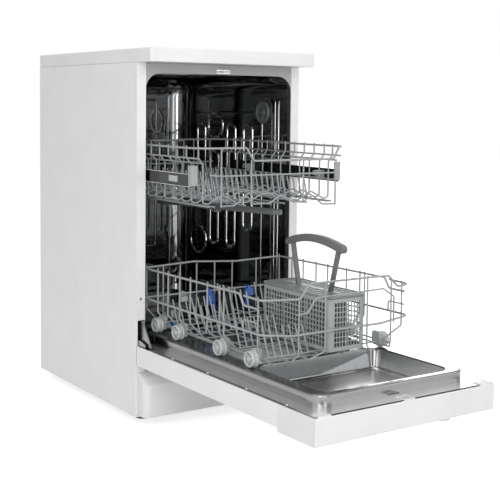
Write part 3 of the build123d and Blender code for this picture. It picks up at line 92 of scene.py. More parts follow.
plainMoulding = dict(spread=0.10, grain=2400, bump=0.05, coat=0.0)  # where a finish gives none
finishValues = {
    "whiteEnamel": dict(color=(0.86, 0.86, 0.86), rough=0.34, spread=0.05, grain=1400, bump=0.015, coat=0.1),
    "worktopLaminate": dict(color=(0.85, 0.85, 0.845), rough=0.42, spread=0.08, grain=2200),
    "whitePlastic": dict(color=(0.79, 0.79, 0.79), rough=0.34, spread=0.05, grain=2600, bump=0.02, coat=0.1),
    "plinthPlastic": dict(color=(0.82, 0.82, 0.82), rough=0.46, spread=0.08, bump=0.06),
    "frameEnamel": dict(color=(0.40, 0.40, 0.40), rough=0.30, spread=0.05, grain=1500, bump=0.02, coat=0.1),
    "greyPlastic": dict(color=(0.27, 0.285, 0.285), rough=0.45),
    "basketPlastic": dict(color=(0.36, 0.385, 0.375), rough=0.42),
    "dispenserPlastic": dict(color=(0.40, 0.43, 0.415), rough=0.42),
    "armPlastic": dict(color=(0.12, 0.125, 0.127), rough=0.40),
    "lidPlastic": dict(color=(0.27, 0.285, 0.28), rough=0.42),
    "handlePlastic": dict(color=(0.135, 0.142, 0.142), rough=0.36, spread=0.08, bump=0.03),
    "wheelPlastic": dict(color=(0.50, 0.53, 0.51), rough=0.40, bump=0.04),
    "bluePlastic": dict(color=(0.03, 0.13, 0.50), rough=0.28, spread=0.06, bump=0.02, coat=0.1),
    "darkPlastic": dict(color=(0.035, 0.036, 0.038), rough=0.50, grain=2200),
    "sealRubber": dict(color=(0.045, 0.046, 0.05), rough=0.62, grain=2600, bump=0.08),
    "coatedWire": dict(color=(0.33, 0.34, 0.345), rough=0.34, spread=0.12, grain=900, bump=0.04, coat=0.15),
    "ballast": dict(color=(0.22, 0.22, 0.215), rough=0.85, grain=500, bump=0.30),
}
steelValues = {
    "tubSteel": dict(color=(0.34, 0.345, 0.35), rough=0.05, spread=0.03, stretch=(260, 260, 14), bump=0.02),
    "linerSteel": dict(color=(0.26, 0.26, 0.265), rough=0.17, spread=0.08, stretch=(320, 16, 320), bump=0.03),
    # a darker copy of the tub steel: painted shade on the tub's back wall and on the door recess's wall towards the
    # cabinet
    "backShadeSteel": dict(color=(0.16, 0.163, 0.166), rough=0.06, spread=0.03, stretch=(260, 260, 14), bump=0.02),
    # a far lighter copy of the tub steel: a painted highlight on the tub's beads and folds
    "beadHighlightSteel": dict(color=(0.74, 0.745, 0.75), rough=0.09, spread=0.04, stretch=(260, 260, 14), bump=0.02),
    # a far lighter copy of the steel: a painted reflection on the door recess's floor and right wall
    "recessReflectionSteel": dict(color=(0.88, 0.88, 0.88), rough=0.32, spread=0.08, stretch=(16, 320, 320), bump=0.03),
    # light steel: a painted highlight along the rail lips
    "lipHighlightSteel": dict(color=(0.72, 0.72, 0.73), rough=0.20, spread=0.06, stretch=(300, 30, 300), bump=0.02),
    # near-black steel: painted shade inside the rail channels
    "railShadeSteel": dict(color=(0.055, 0.056, 0.058), rough=0.16, spread=0.08, stretch=(300, 30, 300), bump=0.02),
    "zincSteel": dict(color=(0.30, 0.305, 0.31), rough=0.24, spread=0.12, stretch=(300, 300, 60), bump=0.05),
    "wireSteel": dict(color=(0.60, 0.60, 0.61), rough=0.22, spread=0.10, stretch=(300, 60, 300), bump=0.02),
}
# patches is the scale of the gloss noise, darker the darkest tone's share, relief the bump in metres
mouldedLook = dict(patches=14, darker=0.955, detail=3, relief=0.0004, coatRough=0.2)
steelLook = dict(patches=9, darker=0.86, detail=5, relief=0.0003)
toneStops = (0.3, 0.7)


def startMaterial(name):
    material = bpy.data.materials.new(name)
    material.use_nodes = True
    tree = material.node_tree
    return material, tree, tree.nodes["Principled BSDF"], addNode(tree, "TexCoord")


def addNode(tree, kind, **values):
    # a shader node with its inputs set by name, in which an underscore stands for a space
    node = tree.nodes.new("ShaderNode" + kind)
    for label, value in values.items():
        node.inputs[label.replace("_", " ")].default_value = value
    return node


def mottledRoughness(tree, shader, place, values, scale):
    # broad patches of slightly different gloss, as handled surfaces have
    half = values["spread"] / 2
    noise = addNode(tree, "TexNoise", Scale=scale, Detail=4)
    span = addNode(tree, "MapRange", To_Min=max(0.02, values["rough"] - half), To_Max=values["rough"] + half)
    joinUp(tree, (
        (place, "Object", noise, "Vector"),
        (noise, "Fac", span, "Value"),
        (span, "Result", shader, "Roughness"),
    ))
    return noise


def twoTones(tree, shader, noise, color, darker):
    # the colour and a darker tone of it, mixed by a noise
    tint = addNode(tree, "ValToRGB")
    for stop, position, share in zip(tint.color_ramp.elements, toneStops, (darker, 1)):
        stop.position = position
        stop.color = (*[c * share for c in color], 1)
    joinUp(tree, ((noise, "Fac", tint, "Fac"), (tint, "Color", shader, "Base Color")))


def fineRelief(tree, shader, noise, strength, distance):
    bump = addNode(tree, "Bump", Strength=strength, Distance=distance)
    joinUp(tree, ((noise, "Fac", bump, "Height"), (bump, "Normal", shader, "Normal")))


def mouldedFinish(name):
    values, look = {**plainMoulding, **finishValues[name]}, mouldedLook
    material, tree, shader, place = startMaterial(name)
    shader.inputs["Coat Weight"].default_value = values["coat"]
    shader.inputs["Coat Roughness"].default_value = look["coatRough"]
    broad = mottledRoughness(tree, shader, place, values, look["patches"])
    twoTones(tree, shader, broad, values["color"], look["darker"])
    grain = addNode(tree, "TexNoise", Scale=values["grain"], Detail=look["detail"])
    joinUp(tree, ((place, "Object", grain, "Vector"),))
    fineRelief(tree, shader, grain, values["bump"], look["relief"])
    return material


def steelFinish(name):
    values, look = steelValues[name], steelLook
    material, tree, shader, place = startMaterial(name)
    shader.inputs["Metallic"].default_value = 1.0
    mottledRoughness(tree, shader, place, values, look["patches"])
    turn = addNode(tree, "Mapping", Scale=values["stretch"])
    streak = addNode(tree, "TexNoise", Scale=1.0, Detail=look["detail"])
    joinUp(tree, ((place, "Object", turn, "Vector"), (turn, "Vector", streak, "Vector")))
    twoTones(tree, shader, streak, values["color"], look["darker"])
    fineRelief(tree, shader, streak, values["bump"], look["relief"])
    return material


finish = {name: mouldedFinish(name) for name in finishValues}
finish.update({name: steelFinish(name) for name in steelValues})

nodeFinish = {
    "worktopLaminate": ["worktop"],
    "whiteEnamel": ["side_panel_left", "side_panel_right", "door_outer_panel"],
    "frameEnamel": ["front_frame"],
    "whitePlastic": ["control_fascia", "programme_knob", "softener", "inlet_valve", "door_latch"],
    "plinthPlastic": ["plinth"],
    "darkPlastic": ["base_tray", "feet", "sump", "pumps", "cable_gland"],
    "ballast": ["counterweight"],
    "tubSteel": ["tub_wrap", "tub_back_wall", "tub_floor", "filter_plate"],
    "linerSteel": ["door_liner"],
    "zincSteel": ["back_panel", "hinge_brackets", "hinge_arms", "door_springs"],
    "railShadeSteel": ["upper_rails"],
    "wireSteel": ["latch_strike", "latch_hook", "cabinet_screws", "door_screws"],
    "sealRubber": ["door_seal"],
    "greyPlastic": [
        "rail_brackets", "rail_rollers", "feed_pipe", "salt_cap", "drain_outlet",
        "rinse_aid_cap", "power_button", "start_button",
    ],
    "armPlastic": ["vent_cap", "lower_spray_arm", "upper_spray_arm", "upper_arm_feed"],
    "dispenserPlastic": ["dispenser_body", "dispenser_lid"],
    "basketPlastic": ["cutlery_basket", "rail_stops"],
    "lidPlastic": ["cutlery_lid"],
    "handlePlastic": ["cutlery_handle"],
    "wheelPlastic": [
        "wheel_brackets", "lower_wheels_1", "lower_wheels_2", "lower_wheels_3", "lower_wheels_4",
    ],
    "bluePlastic": ["tine_clips", "filter_cylinder"],
    "coatedWire": ["lower_basket", "fold_tines", "upper_basket"],
}
for finishName, nodeNames in nodeFinish.items():
    for nodeName in nodeNames:
        slots = nodes[nodeName].data.materials
        slots.clear()
        slots.append(finish[finishName])
print("stage: finishes")


def startTree(name, sockets):
    # a tree with named inputs, of which the finish is the last
    tree = bpy.data.node_groups.new(name, "GeometryNodeTree")
    for label, kind in (("Geometry", "Geometry"), *sockets, ("Finish", "Material")):
        tree.interface.new_socket(label, in_out="INPUT", socket_type="NodeSocket" + kind)
    tree.interface.new_socket("Geometry", in_out="OUTPUT", socket_type="NodeSocketGeometry")
    return tree, tree.nodes.new("NodeGroupInput")


def endTree(tree, start, shape):
    # the finish on the realized shape
    paint, end = tree.nodes.new("GeometryNodeSetMaterial"), tree.nodes.new("NodeGroupOutput")
    joinUp(tree, (
        (shape, "Geometry", paint, "Geometry"),
        (start, "Finish", paint, "Material"),
        (paint, "Geometry", end, "Geometry"),
    ))
    return tree


def wireTree():
    # polylines to round wire: rounded corners, a round section, domed ends
    tree, start = startTree("bentWire", (
        ("Wire Radius", "Float"), ("Bend Radius", "Float"), ("Section Sides", "Int"),
    ))
    make = tree.nodes.new
    toCurve = make("GeometryNodeMeshToCurve")
    corner = make("GeometryNodeFilletCurve")
    corner.mode = "POLY"
    corner.inputs["Count"].default_value = 4
    corner.inputs["Limit Radius"].default_value = True
    section = make("GeometryNodeCurvePrimitiveCircle")
    sweep = make("GeometryNodeCurveToMesh")
    tip = make("GeometryNodeInputNamedAttribute")
    tip.data_type = "BOOLEAN"
    tip.inputs["Name"].default_value = "tip"
    ball = make("GeometryNodeMeshUVSphere")
    ball.inputs["Segments"].default_value = 8
    ball.inputs["Rings"].default_value = 6
    domes = make("GeometryNodeInstanceOnPoints")
    both = make("GeometryNodeJoinGeometry")
    real = make("GeometryNodeRealizeInstances")
    smooth = make("GeometryNodeSetShadeSmooth")
    joinUp(tree, (
        (start, "Geometry", toCurve, "Mesh"),
        (toCurve, "Curve", corner, "Curve"),
        (start, "Bend Radius", corner, "Radius"),
        (start, "Wire Radius", section, "Radius"),
        (start, "Section Sides", section, "Resolution"),
        (corner, "Curve", sweep, "Curve"),
        (section, "Curve", sweep, "Profile Curve"),
        (start, "Wire Radius", ball, "Radius"),
        (start, "Geometry", domes, "Points"),
        (tip, "Attribute", domes, "Selection"),
        (ball, "Mesh", domes, "Instance"),
        (sweep, "Mesh", both, "Geometry"),
        (domes, "Instances", both, "Geometry"),
        (both, "Geometry", real, "Geometry"),
        (real, "Geometry", smooth, "Geometry"),
    ))
    return endTree(tree, start, smooth)


bentWire = wireTree()


def meshFromTree(name, startMesh, group, values, material):
    # runs a node tree on a mesh and keeps the result as a plain mesh
    holder = bpy.data.objects.new(name + "Holder", startMesh)
    bpy.context.scene.collection.objects.link(holder)
    maker = holder.modifiers.new(name, "NODES")
    maker.node_group = group
    sockets = {item.name: item.identifier for item in group.interface.items_tree if item.in_out == "INPUT"}
    for label, value in values.items():
        maker[sockets[label]] = value
    maker[sockets["Finish"]] = material
    depsgraph = bpy.context.evaluated_depsgraph_get()
    mesh = bpy.data.meshes.new_from_object(holder.evaluated_get(depsgraph))
    mesh.name = name
    bpy.data.objects.remove(holder)
    bpy.data.meshes.remove(startMesh)
    mesh.materials.clear()
    mesh.materials.append(material)
    return mesh


def wireMesh(name, paths, radius, bend, material, sides=8):
    # paths are in millimetres, each its own run of edges with two tips
    vertices, edges, tips = [], [], []
    for path in paths:
        first = len(vertices)
        vertices += [onMillimetres(p) for p in path]
        edges += [(first + i, first + i + 1) for i in range(len(path) - 1)]
        tips += [i in (0, len(path) - 1) for i in range(len(path))]
    line = bpy.data.meshes.new(name + "Line")
    line.from_pydata(vertices, edges, [])
    mark = line.attributes.new("tip", "BOOLEAN", "POINT")
    mark.data.foreach_set("value", tips)
    values = {"Wire Radius": radius * mm, "Bend Radius": bend * mm, "Section Sides": sides}
    return meshFromTree(name, line, bentWire, values, material)


def joinedMesh(name, meshes):
    bm = bmesh.new()
    for mesh in meshes:
        bm.from_mesh(mesh)
    return meshFrom(bm, name, 50, meshes[0].materials[0])


def barTree():
    # a flat lattice of crossing bars between two corners of a panel
    tree, start = startTree("barLattice", (
        ("Width", "Float"), ("Height", "Float"), ("Bar", "Float"), ("Thickness", "Float"),
        ("Columns", "Int"), ("Rows", "Int"), ("Corner", "Vector"), ("Turn", "Vector"),
    ))
    make, link = tree.nodes.new, tree.links.new

    def shareOf(label, share):
        # one of the inputs times a fixed share
        times = make("ShaderNodeMath")
        times.operation = "MULTIPLY"
        times.inputs[1].default_value = share
        link(start.outputs[label], times.inputs[0])
        return times.outputs[0]

    def bars(countLabel, spanLabel, lengthLabel, along, thicknessShare):
        # evenly spaced bars, the first and last flush with the panel's edges
        across = "Z" if along == "X" else "X"
        line = make("GeometryNodeMeshLine")
        line.mode = "END_POINTS"
        ends, size, lift = [make("ShaderNodeCombineXYZ") for _ in range(3)]
        bar = make("GeometryNodeMeshCube")
        placed = make("GeometryNodeTransform")
        copies = make("GeometryNodeInstanceOnPoints")
        link(shareOf("Thickness", thicknessShare), size.inputs["Y"])
        link(shareOf(lengthLabel, 0.5), lift.inputs[across])
        joinUp(tree, (
            (start, spanLabel, ends, along),
            (start, countLabel, line, "Count"),
            (ends, "Vector", line, "Offset"),
            (start, "Bar", size, along),
            (start, lengthLabel, size, across),
            (size, "Vector", bar, "Size"),
            (bar, "Mesh", placed, "Geometry"),
            (lift, "Vector", placed, "Translation"),
            (line, "Mesh", copies, "Points"),
            (placed, "Geometry", copies, "Instance"),
        ))
        return copies.outputs["Instances"]

    both = make("GeometryNodeJoinGeometry")
    link(bars("Columns", "Width", "Height", "X", 1.0), both.inputs["Geometry"])
    link(bars("Rows", "Height", "Width", "Z", 0.8), both.inputs["Geometry"])
    stand = make("GeometryNodeTransform")
    real = make("GeometryNodeRealizeInstances")
    joinUp(tree, (
        (both, "Geometry", stand, "Geometry"),
        (start, "Corner", stand, "Translation"),
        (start, "Turn", stand, "Rotation"),
        (stand, "Geometry", real, "Geometry"),
    ))
    return endTree(tree, start, real)


barLattice = barTree()


def latticeMesh(name, corner, turn, width, height, pitch, bar, thickness, material):
    # a panel of bars; pitch is (across, up), all in millimetres
    values = {
        "Width": width * mm, "Height": height * mm, "Bar": bar * mm, "Thickness": thickness * mm,
        "Columns": round(width / pitch[0]) + 1, "Rows": round(height / pitch[1]) + 1,
        "Corner": onMillimetres(corner), "Turn": Vector([math.radians(a) for a in turn]),
    }
    return meshFromTree(name, bpy.data.meshes.new(name + "Start"), barLattice, values, material)


def roundedOutline(x0, x1, y0, y1, radius, steps=6):
    # counter-clockwise corner points of a rounded rectangle
    points = []
    for cx, cy, start in (
        (x1 - radius, y0 + radius, -90), (x1 - radius, y1 - radius, 0),
        (x0 + radius, y1 - radius, 90), (x0 + radius, y0 + radius, 180),
    ):
        for i in range(steps + 1):
            angle = math.radians(start + 90 * i / steps)
            points.append((cx + radius * math.cos(angle), cy + radius * math.sin(angle)))
    return points


def skin(bm, rings):
    # faces between neighbouring rings, which have as many points each
    for a, b in zip(rings, rings[1:]):
        for i in range(len(a)):
            j = (i + 1) % len(a)
            bm.faces.new((a[i], a[j], b[j], b[i]))


def ringMesh(name, box, radius, wall, low, high, material, edge=0.5):
    # an upright rounded-rectangle band with softened edges
    x0, x1, y0, y1 = box
    outer = roundedOutline(x0, x1, y0, y1, radius)
    inner = roundedOutline(x0 + wall, x1 - wall, y0 + wall, y1 - wall, max(radius - wall, 0.5))
    profile = [(0, low + edge), (edge, low), (1 - edge, low), (1, low + edge),
               (1, high - edge), (1 - edge, high), (edge, high), (0, high - edge)]
    bm = bmesh.new()
    rings = []
    for share, z in profile:
        share = share if share in (0, 1) else (edge / wall if share < 0.5 else 1 - edge / wall)
        rings.append([
            bm.verts.new(onMillimetres((o[0] + (i[0] - o[0]) * share, o[1] + (i[1] - o[1]) * share, z)))
            for o, i in zip(outer, inner)
        ])
    skin(bm, rings + rings[:1])
    return meshFrom(bm, name, 40, material, outward=True)


def turnedMesh(name, profile, centre, material, side=1, steps=48):
    # a closed profile of (along, radius) pairs turned about an X axis, in millimetres
    turns = [2 * math.pi * i / steps for i in range(steps)]
    bm = bmesh.new()
    rings = []
    for along, radius in profile:
        rings.append([
            bm.verts.new(onMillimetres((
                side * along, centre[0] + radius * math.cos(a), centre[1] + radius * math.sin(a),
            ))) for a in turns
        ])
    skin(bm, rings + rings[:1])
    return meshFrom(bm, name, 35, material, outward=True)


def blockMesh(name, corners, material, bevel=0.4):
    # blocks between opposite corners, in millimetres, with softened edges
    bm = bmesh.new()
    for x0, x1, y0, y1, z0, z1 in corners:
        made = bmesh.ops.create_cube(bm, size=1)
        for vertex in made["verts"]:
            vertex.co = onMillimetres((
                x0 + (vertex.co.x + 0.5) * (x1 - x0),
                y0 + (vertex.co.y + 0.5) * (y1 - y0),
                z0 + (vertex.co.z + 0.5) * (z1 - z0),
            ))
    bmesh.ops.bevel(bm, geom=bm.edges[:], offset=bevel * mm, segments=2, profile=0.5, affect="EDGES")
    return meshFrom(bm, name, 40, material)


def bothSides(path):
    return [path, [(-x, y, z) for x, y, z in path]]


def mirrored(path):
    # a path that goes on over the middle and down the other side
    return path + [(-x, y, z) for x, y, z in reversed(path)]


def atDepth(y, points):
    return [(x, y, z) for x, z in points]


lower = dict(
    half=190, front=-440, back=25, rim=354, middle=286, bend=262, floorHalf=150, floor=224, runDrop=3.4,
    sideRim=((-427, 335), (-380, 335), (-365, 356), (25, 354)), backRim=((-60, 359), (60, 351)),
    middleDip=((-115, 276), (115, 277)), cornerLoop=((-378, 286), (-378, 307), (-427, 307)), frontWrap=-382,
    frontWave=((-98, 347), (-73, 376), (68, 376), (134, 375), (160, 350)),
    frontStrip=((-104, 316.5), (-78, 317.5), (-57, 346), (120, 349), (150, 330), (150, 277)),
    stations=(20, -33, -78, -128, -172, -240, -287, -303), corner=-424, floorFront=-388,
    plateRows=(-33, -128, -287, -388), plateTines=spaced(-134, -35, 7), lean=24, plateTall=56,
    sideRow=(95, -180, -20, 72), sideTines=spaced(-172, -28, 7),
    frontUprights=(None, -99, -33, None, 77, 142), frontTops=(0, 347, 376, 0, 378, 366),
    runs=(-150, -108, -62, 28, 95, 150), looseRun=-16, backUprights=(-140, -95, -50, 0, 50, 120),
    uprightFoot=236, backTop=353, rimWire=2.3, wire=1.8, bar=(157.3, -420, 22, 227),
)


def makeLowerBasket():
    v = lower
    half, front, back, rimZ, middleZ = v["half"], v["front"], v["back"], v["rim"], v["middle"]
    floorHalf, floorZ = v["floorHalf"], v["floor"]
    upright = half - 3.7
    rim = [(-half, y, z) for y, z in v["sideRim"]] + atDepth(back, v["backRim"])
    rim += [(half, y, z) for y, z in reversed(v["sideRim"])]
    middle = [(0, back, middleZ), (-half, back, middleZ), (-half, front, middleZ), *atDepth(front, v["middleDip"]),
              (half, front, middleZ), (half, back, middleZ), (-2, back, middleZ)]
    frontTop = [(-half, v["frontWrap"], rimZ), (-half, front, rimZ - 1), *atDepth(front, v["frontWave"]),
                (half, front, rimZ - 1), (half, v["frontWrap"], rimZ)]
    thin = [atDepth(front, v["frontStrip"])]
    thin += bothSides([(-half, y, z) for y, z in v["cornerLoop"]])
    for y in v["stations"]:
        thin.append(mirrored([(-upright, y, rimZ + 5), (-upright, y, v["bend"]), (-floorHalf, y, floorZ)]))
    thin += bothSides([(-upright, v["corner"], rimZ + 2), (-upright, v["corner"], v["bend"]),
                       (-floorHalf, v["floorFront"] - 8, floorZ)])
    thin.append(mirrored([(-floorHalf, v["floorFront"], floorZ)]))
    runZ, footZ = floorZ - v["runDrop"], floorZ + v["runDrop"]
    for top, foot, run, end in zip(v["frontTops"], v["frontUprights"], v["runs"], v["backUprights"]):
        wire = [(run, front + 12, runZ), (run, 12, runZ), (end, back, v["uprightFoot"]), (end, back, v["backTop"])]
        if foot is not None:
            wire = [(foot, front, top), (foot, front, v["uprightFoot"])] + wire
        thin.append(wire)
    thin.append([(v["looseRun"], v["floorFront"] - 6, runZ), (v["looseRun"], 24, runZ)])
    x, y0, y1, z = v["bar"]
    thin += bothSides([(-x, y1, z), (-x, y0, z)])
    for y in v["plateRows"]:
        thin += [[(x, y, floorZ), (x, y + v["lean"], floorZ + v["plateTall"])] for x in v["plateTines"]]
    x, y0, y1, tall = v["sideRow"]
    thin.append([(x, y0, footZ), (x, y1, footZ)])
    thin += [[(x, y, footZ), (x, y + v["lean"], footZ + tall)] for y in v["sideTines"]]
    mesh = joinedMesh("lowerBasketWire", [
        wireMesh("lowerHeavy", [rim, middle, frontTop], v["rimWire"], 10, finish["coatedWire"], 10),
        wireMesh("lowerThin", thin, v["wire"], 6, finish["coatedWire"]),
    ])
    piece = addPiece("lowerBasketWire", mesh, "lower_rack", finish["coatedWire"])
    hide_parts("lower_basket")


fold = dict(x=-16, z=232.4, tall=75, lean=24, stations=spaced(-157, -37, 6), wire=1.8)


def makeFoldTines():
    v = fold
    paths = [[(v["x"], v["stations"][0] - 8, v["z"]), (v["x"], v["stations"][-1] + 8, v["z"])]]
    paths += [[(v["x"], y, v["z"]), (v["x"], y + v["lean"], v["z"] + v["tall"])] for y in v["stations"]]
    mesh = wireMesh("foldTinesWire", paths, v["wire"], 3, finish["coatedWire"])
    piece = addPiece("foldTinesWire", mesh, "tine_row", finish["coatedWire"])
    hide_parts("fold_tines")


upper = dict(
    half=190, inner=173, front=-212, back=288, side=264, corner=166, frontCorner=45,
    rim=635, joggleTop=615, joggleLow=599, floor=515, runDrop=3.4,
    frontDip=((-72, 635), (-54, 607), (166, 607), (182, 635)),
    frontBar=((-150, -190, 577), (-132, -212, 576), (184, -212, 576)),
    stations=spaced(-190, 268, 13), runs=(-152, -74, -6, 30, 92, 152),
    longWires=((190, 614, 262), (179, 603.5, 276), (169.6, 560, 283), (163, 511.4, 283)),
    wave=((173, 519), (160, 516), (124, 534), (88, 516), (60, 516), (20, 533)), waveInset=0.7,
    frontWave=((-137, 512.4), (-105, 512.4), (-70, 533), (-56, 514), (-11, 514), (21, 531), (55, 514), (80, 513),
               (108, 527), (134, 506), (171, 504.8)),
    frontUprights=((-137, 636), (-60, 608), (80, 608), (171, 578)), backUprights=(150, 100, 50),
    backBar=(158, 576), backFoot=150, pipeX=48, pipeY=252, pipeWire=24,
    rows=((-122, 44), (-62, 52), (62, 52), (122, 42)), tines=spaced(-172, 236, 20), lean=-7,
    rimWire=2.3, wire=1.8,
)


def makeUpperBasket():
    v = upper
    half, front, back, rimZ, bend = v["half"], v["front"], v["back"], v["rim"], v["frontCorner"]
    pipeX, pipeY, floorZ = v["pipeX"], v["pipeY"], v["floor"]
    upright = half - 3.6
    turns = [math.radians(180 + 15 * i) for i in range(7)]
    rounded = [(bend - half + bend * math.cos(a), front + bend + bend * math.sin(a), rimZ) for a in turns]
    rim = [(2, pipeY, rimZ), (-pipeX, pipeY, rimZ), (-pipeX, back, rimZ), (-v["corner"], back, rimZ),
           (-half, v["side"], rimZ), *rounded, *atDepth(front, v["frontDip"]), (half, front, rimZ),
           (half, v["side"], rimZ), (v["corner"], back, rimZ), (pipeX, back, rimZ), (pipeX, pipeY, rimZ),
           (-2, pipeY, rimZ)]
    thin = []
    for y in v["stations"]:
        # side wires follow the rim's rounded corner, and cross below as a wave that cups stand in
        reach = max(front + bend - y, 0)
        inset = bend - math.sqrt(bend * bend - reach * reach)
        lowInset = inset * v["waveInset"]
        wire = [(-upright + inset, y, rimZ + 3), (-upright + inset, y, v["joggleTop"]),
                (-v["inner"] + lowInset, y, v["joggleLow"])]
        wave = [(-x + lowInset, y, z) for x, z in v["wave"]]
        if y > pipeY:
            thin += bothSides(wire + wave[:2])
        else:
            thin.append(mirrored(wire + wave))
    for x, z, end in v["longWires"]:
        thin += bothSides([(-x, front + 5, z), (-x, end, z)])
    thin += [list(v["frontBar"]), atDepth(front, v["frontWave"])]
    for x, top in v["frontUprights"]:
        low = min(v["frontWave"], key=lambda p: abs(p[0] - x))[1]
        thin.append([(x, front - 1, top), (x, front - 1, low - 1)])
    runZ, footZ = floorZ - v["runDrop"], floorZ + v["runDrop"] + 1
    thin += [[(x, front + 2, runZ), (x, pipeY, runZ)] for x in v["runs"]]
    barX, barZ = v["backBar"]
    for side in (-1, 1):
        pipe = side * pipeX
        thin += [[(side * x, back, runZ), (side * x, back, rimZ)] for x in v["backUprights"]]
        thin.append([(side * barX, back, barZ), (pipe, back, barZ), (pipe, pipeY, barZ), (0, pipeY, barZ)])
        thin.append([(side * v["backFoot"], back, runZ + 1), (pipe, back, floorZ + 0.5),
                     (pipe, pipeY, floorZ + 0.5), (0, pipeY, floorZ + 0.5)])
        thin.append([(pipe, pipeY, runZ + 1), (pipe, pipeY, rimZ)])
        thin.append([(side * v["pipeWire"], pipeY, floorZ), (side * v["pipeWire"], pipeY, rimZ)])
    for x, tall in v["rows"]:
        thin.append([(x, v["tines"][0] - 8, footZ), (x, v["tines"][-1] + 8, footZ)])
        thin += [[(x, y, footZ), (x + v["lean"], y + 3, footZ + tall)] for y in v["tines"]]
    mesh = joinedMesh("upperBasketWire", [
        wireMesh("upperHeavy", [rim], v["rimWire"], 8, finish["coatedWire"], 10),
        wireMesh("upperThin", thin, v["wire"], 6, finish["coatedWire"]),
    ])
    piece = addPiece("upperBasketWire", mesh, "upper_rack", finish["coatedWire"])
    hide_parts("upper_basket")


cutlery = dict(
    box=(-17, 79, -432, -197), low=229, high=337, wall=1.8, corner=10, post=14, topBand=9, lowBand=9,
    endPitch=(7.6, 10.5), endBar=1.7, sidePitch=(10, 10.8), sideBar=2.0, floorPitch=(10, 10), floorBar=2.0,
    dividers=39, dividerHalf=0.9, dividerDrop=10, inside=(2.2, 0.6, 3),
)


def makeCutleryBasket():
    v = cutlery
    x0, x1, y0, y1 = v["box"]
    plastic = finish["basketPlastic"]
    parts = [
        ringMesh("topBand", v["box"], v["corner"], v["wall"], v["high"] - v["topBand"], v["high"], plastic),
        ringMesh("lowBand", v["box"], v["corner"], v["wall"], v["low"], v["low"] + v["lowBand"], plastic),
    ]
    middle, low, high = v["wall"] / 2, v["low"] + v["lowBand"] - 1, v["high"] - v["topBand"] + 1
    for y in (y0 + middle, y1 - middle):
        parts.append(latticeMesh("endLattice", (x0 + v["post"], y, low), (0, 0, 0), x1 - x0 - 2 * v["post"],
                                 high - low, v["endPitch"], v["endBar"], v["wall"] - 0.3, plastic))
    for x in (x0 + middle, x1 - middle):
        parts.append(latticeMesh("sideLattice", (x, y0 + v["post"], low), (0, 0, 90), y1 - y0 - 2 * v["post"],
                                 high - low, v["sidePitch"], v["sideBar"], v["wall"] - 0.3, plastic))
    parts.append(latticeMesh("floorLattice", (x0 + 3, y0 + 3, v["low"] + 1), (-90, 0, 0), x1 - x0 - 6,
                             y1 - y0 - 6, v["floorPitch"], v["floorBar"], v["wall"], plastic))
    parts.append(cornerPosts(v, low, high, plastic))
    middleX, middleY, half = (x0 + x1) / 2, (y0 + y1) / 2, v["dividerHalf"]
    span = (v["low"] + 1, v["high"] - v["dividerDrop"])
    dividers = [(x0 + 1, x1 - 1, y - half, y + half, *span)
                for y in (middleY - v["dividers"], middleY + v["dividers"])]
    dividers.append((middleX - half, middleX + half, y0 + 1, y1 - 1, *span))
    parts.append(blockMesh("dividers", dividers, plastic, 0.3))
    piece = addPiece("cutleryLattice", joinedMesh("cutleryLattice", parts), "cutlery", plastic)
    near, far, drop = v["inside"]  # faces inside the basket are painted darker as shade, in the dark arm plastic
    addSecondFinish(piece, finish["armPlastic"], lambda p, n: x0 + near < p.x < x1 - far
                    and y0 + near < p.y < y1 - far and p.z < v["high"] - drop)
    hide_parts("cutlery_basket")


def cornerPosts(v, low, high, material):
    # four posts that follow the rounded corners and run a little along each wall
    x0, x1, y0, y1 = v["box"]
    steps = 6
    outer = roundedOutline(x0, x1, y0, y1, v["corner"], steps)
    inner = roundedOutline(x0 + v["wall"], x1 - v["wall"], y0 + v["wall"], y1 - v["wall"],
                           v["corner"] - v["wall"], steps)
    flat = v["post"] - v["corner"] + 0.7
    bm = bmesh.new()
    for quarter in range(4):
        first = quarter * (steps + 1)
        o, i = outer[first:first + steps + 1], inner[first:first + steps + 1]
        before = Vector(((1, 0), (0, 1), (-1, 0), (0, -1))[quarter]) * flat
        after = Vector(((0, 1), (-1, 0), (0, -1), (1, 0))[quarter]) * flat
        o = [tuple(Vector(o[0]) - before)] + o + [tuple(Vector(o[-1]) + after)]
        i = [tuple(Vector(i[0]) - before)] + i + [tuple(Vector(i[-1]) + after)]
        corners = [
            [bm.verts.new(onMillimetres(p)) for p in ((ox, oy, low), (ix, iy, low), (ix, iy, high), (ox, oy, high))]
            for (ox, oy), (ix, iy) in zip(o, i)
        ]
        skin(bm, corners)
        bm.faces.new(corners[0])
        bm.faces.new(corners[-1][::-1])
    return meshFrom(bm, "cornerPosts", 40, material, outward=True)


lid = dict(box=(-18, 80, -433, -196), low=337.3, high=342.3, rim=5, corner=11, pitch=(10.4, 19), bar=2.6, sheet=3,
           spine=(24, 38))


def makeCutleryLid():
    v = lid
    x0, x1, y0, y1 = v["box"]
    plastic = finish["lidPlastic"]
    edge = v["rim"] - 1
    parts = [
        ringMesh("lidRim", v["box"], v["corner"], v["rim"], v["low"], v["high"], plastic, 0.8),
        latticeMesh("lidBars", (x0 + edge, y0 + edge, v["high"] - 0.6 - v["sheet"] / 2), (-90, 0, 0),
                    x1 - x0 - 2 * edge, y1 - y0 - 2 * edge, v["pitch"], v["bar"], v["sheet"], plastic),
        blockMesh("lidSpine", [(*v["spine"], y0 + edge, y1 - edge, v["high"] - 4, v["high"] - 0.2)], plastic, 0.6),
    ]
    piece = addPiece("cutleryLidBars", joinedMesh("cutleryLidBars", parts), "cutlery", plastic)
    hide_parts("cutlery_lid")


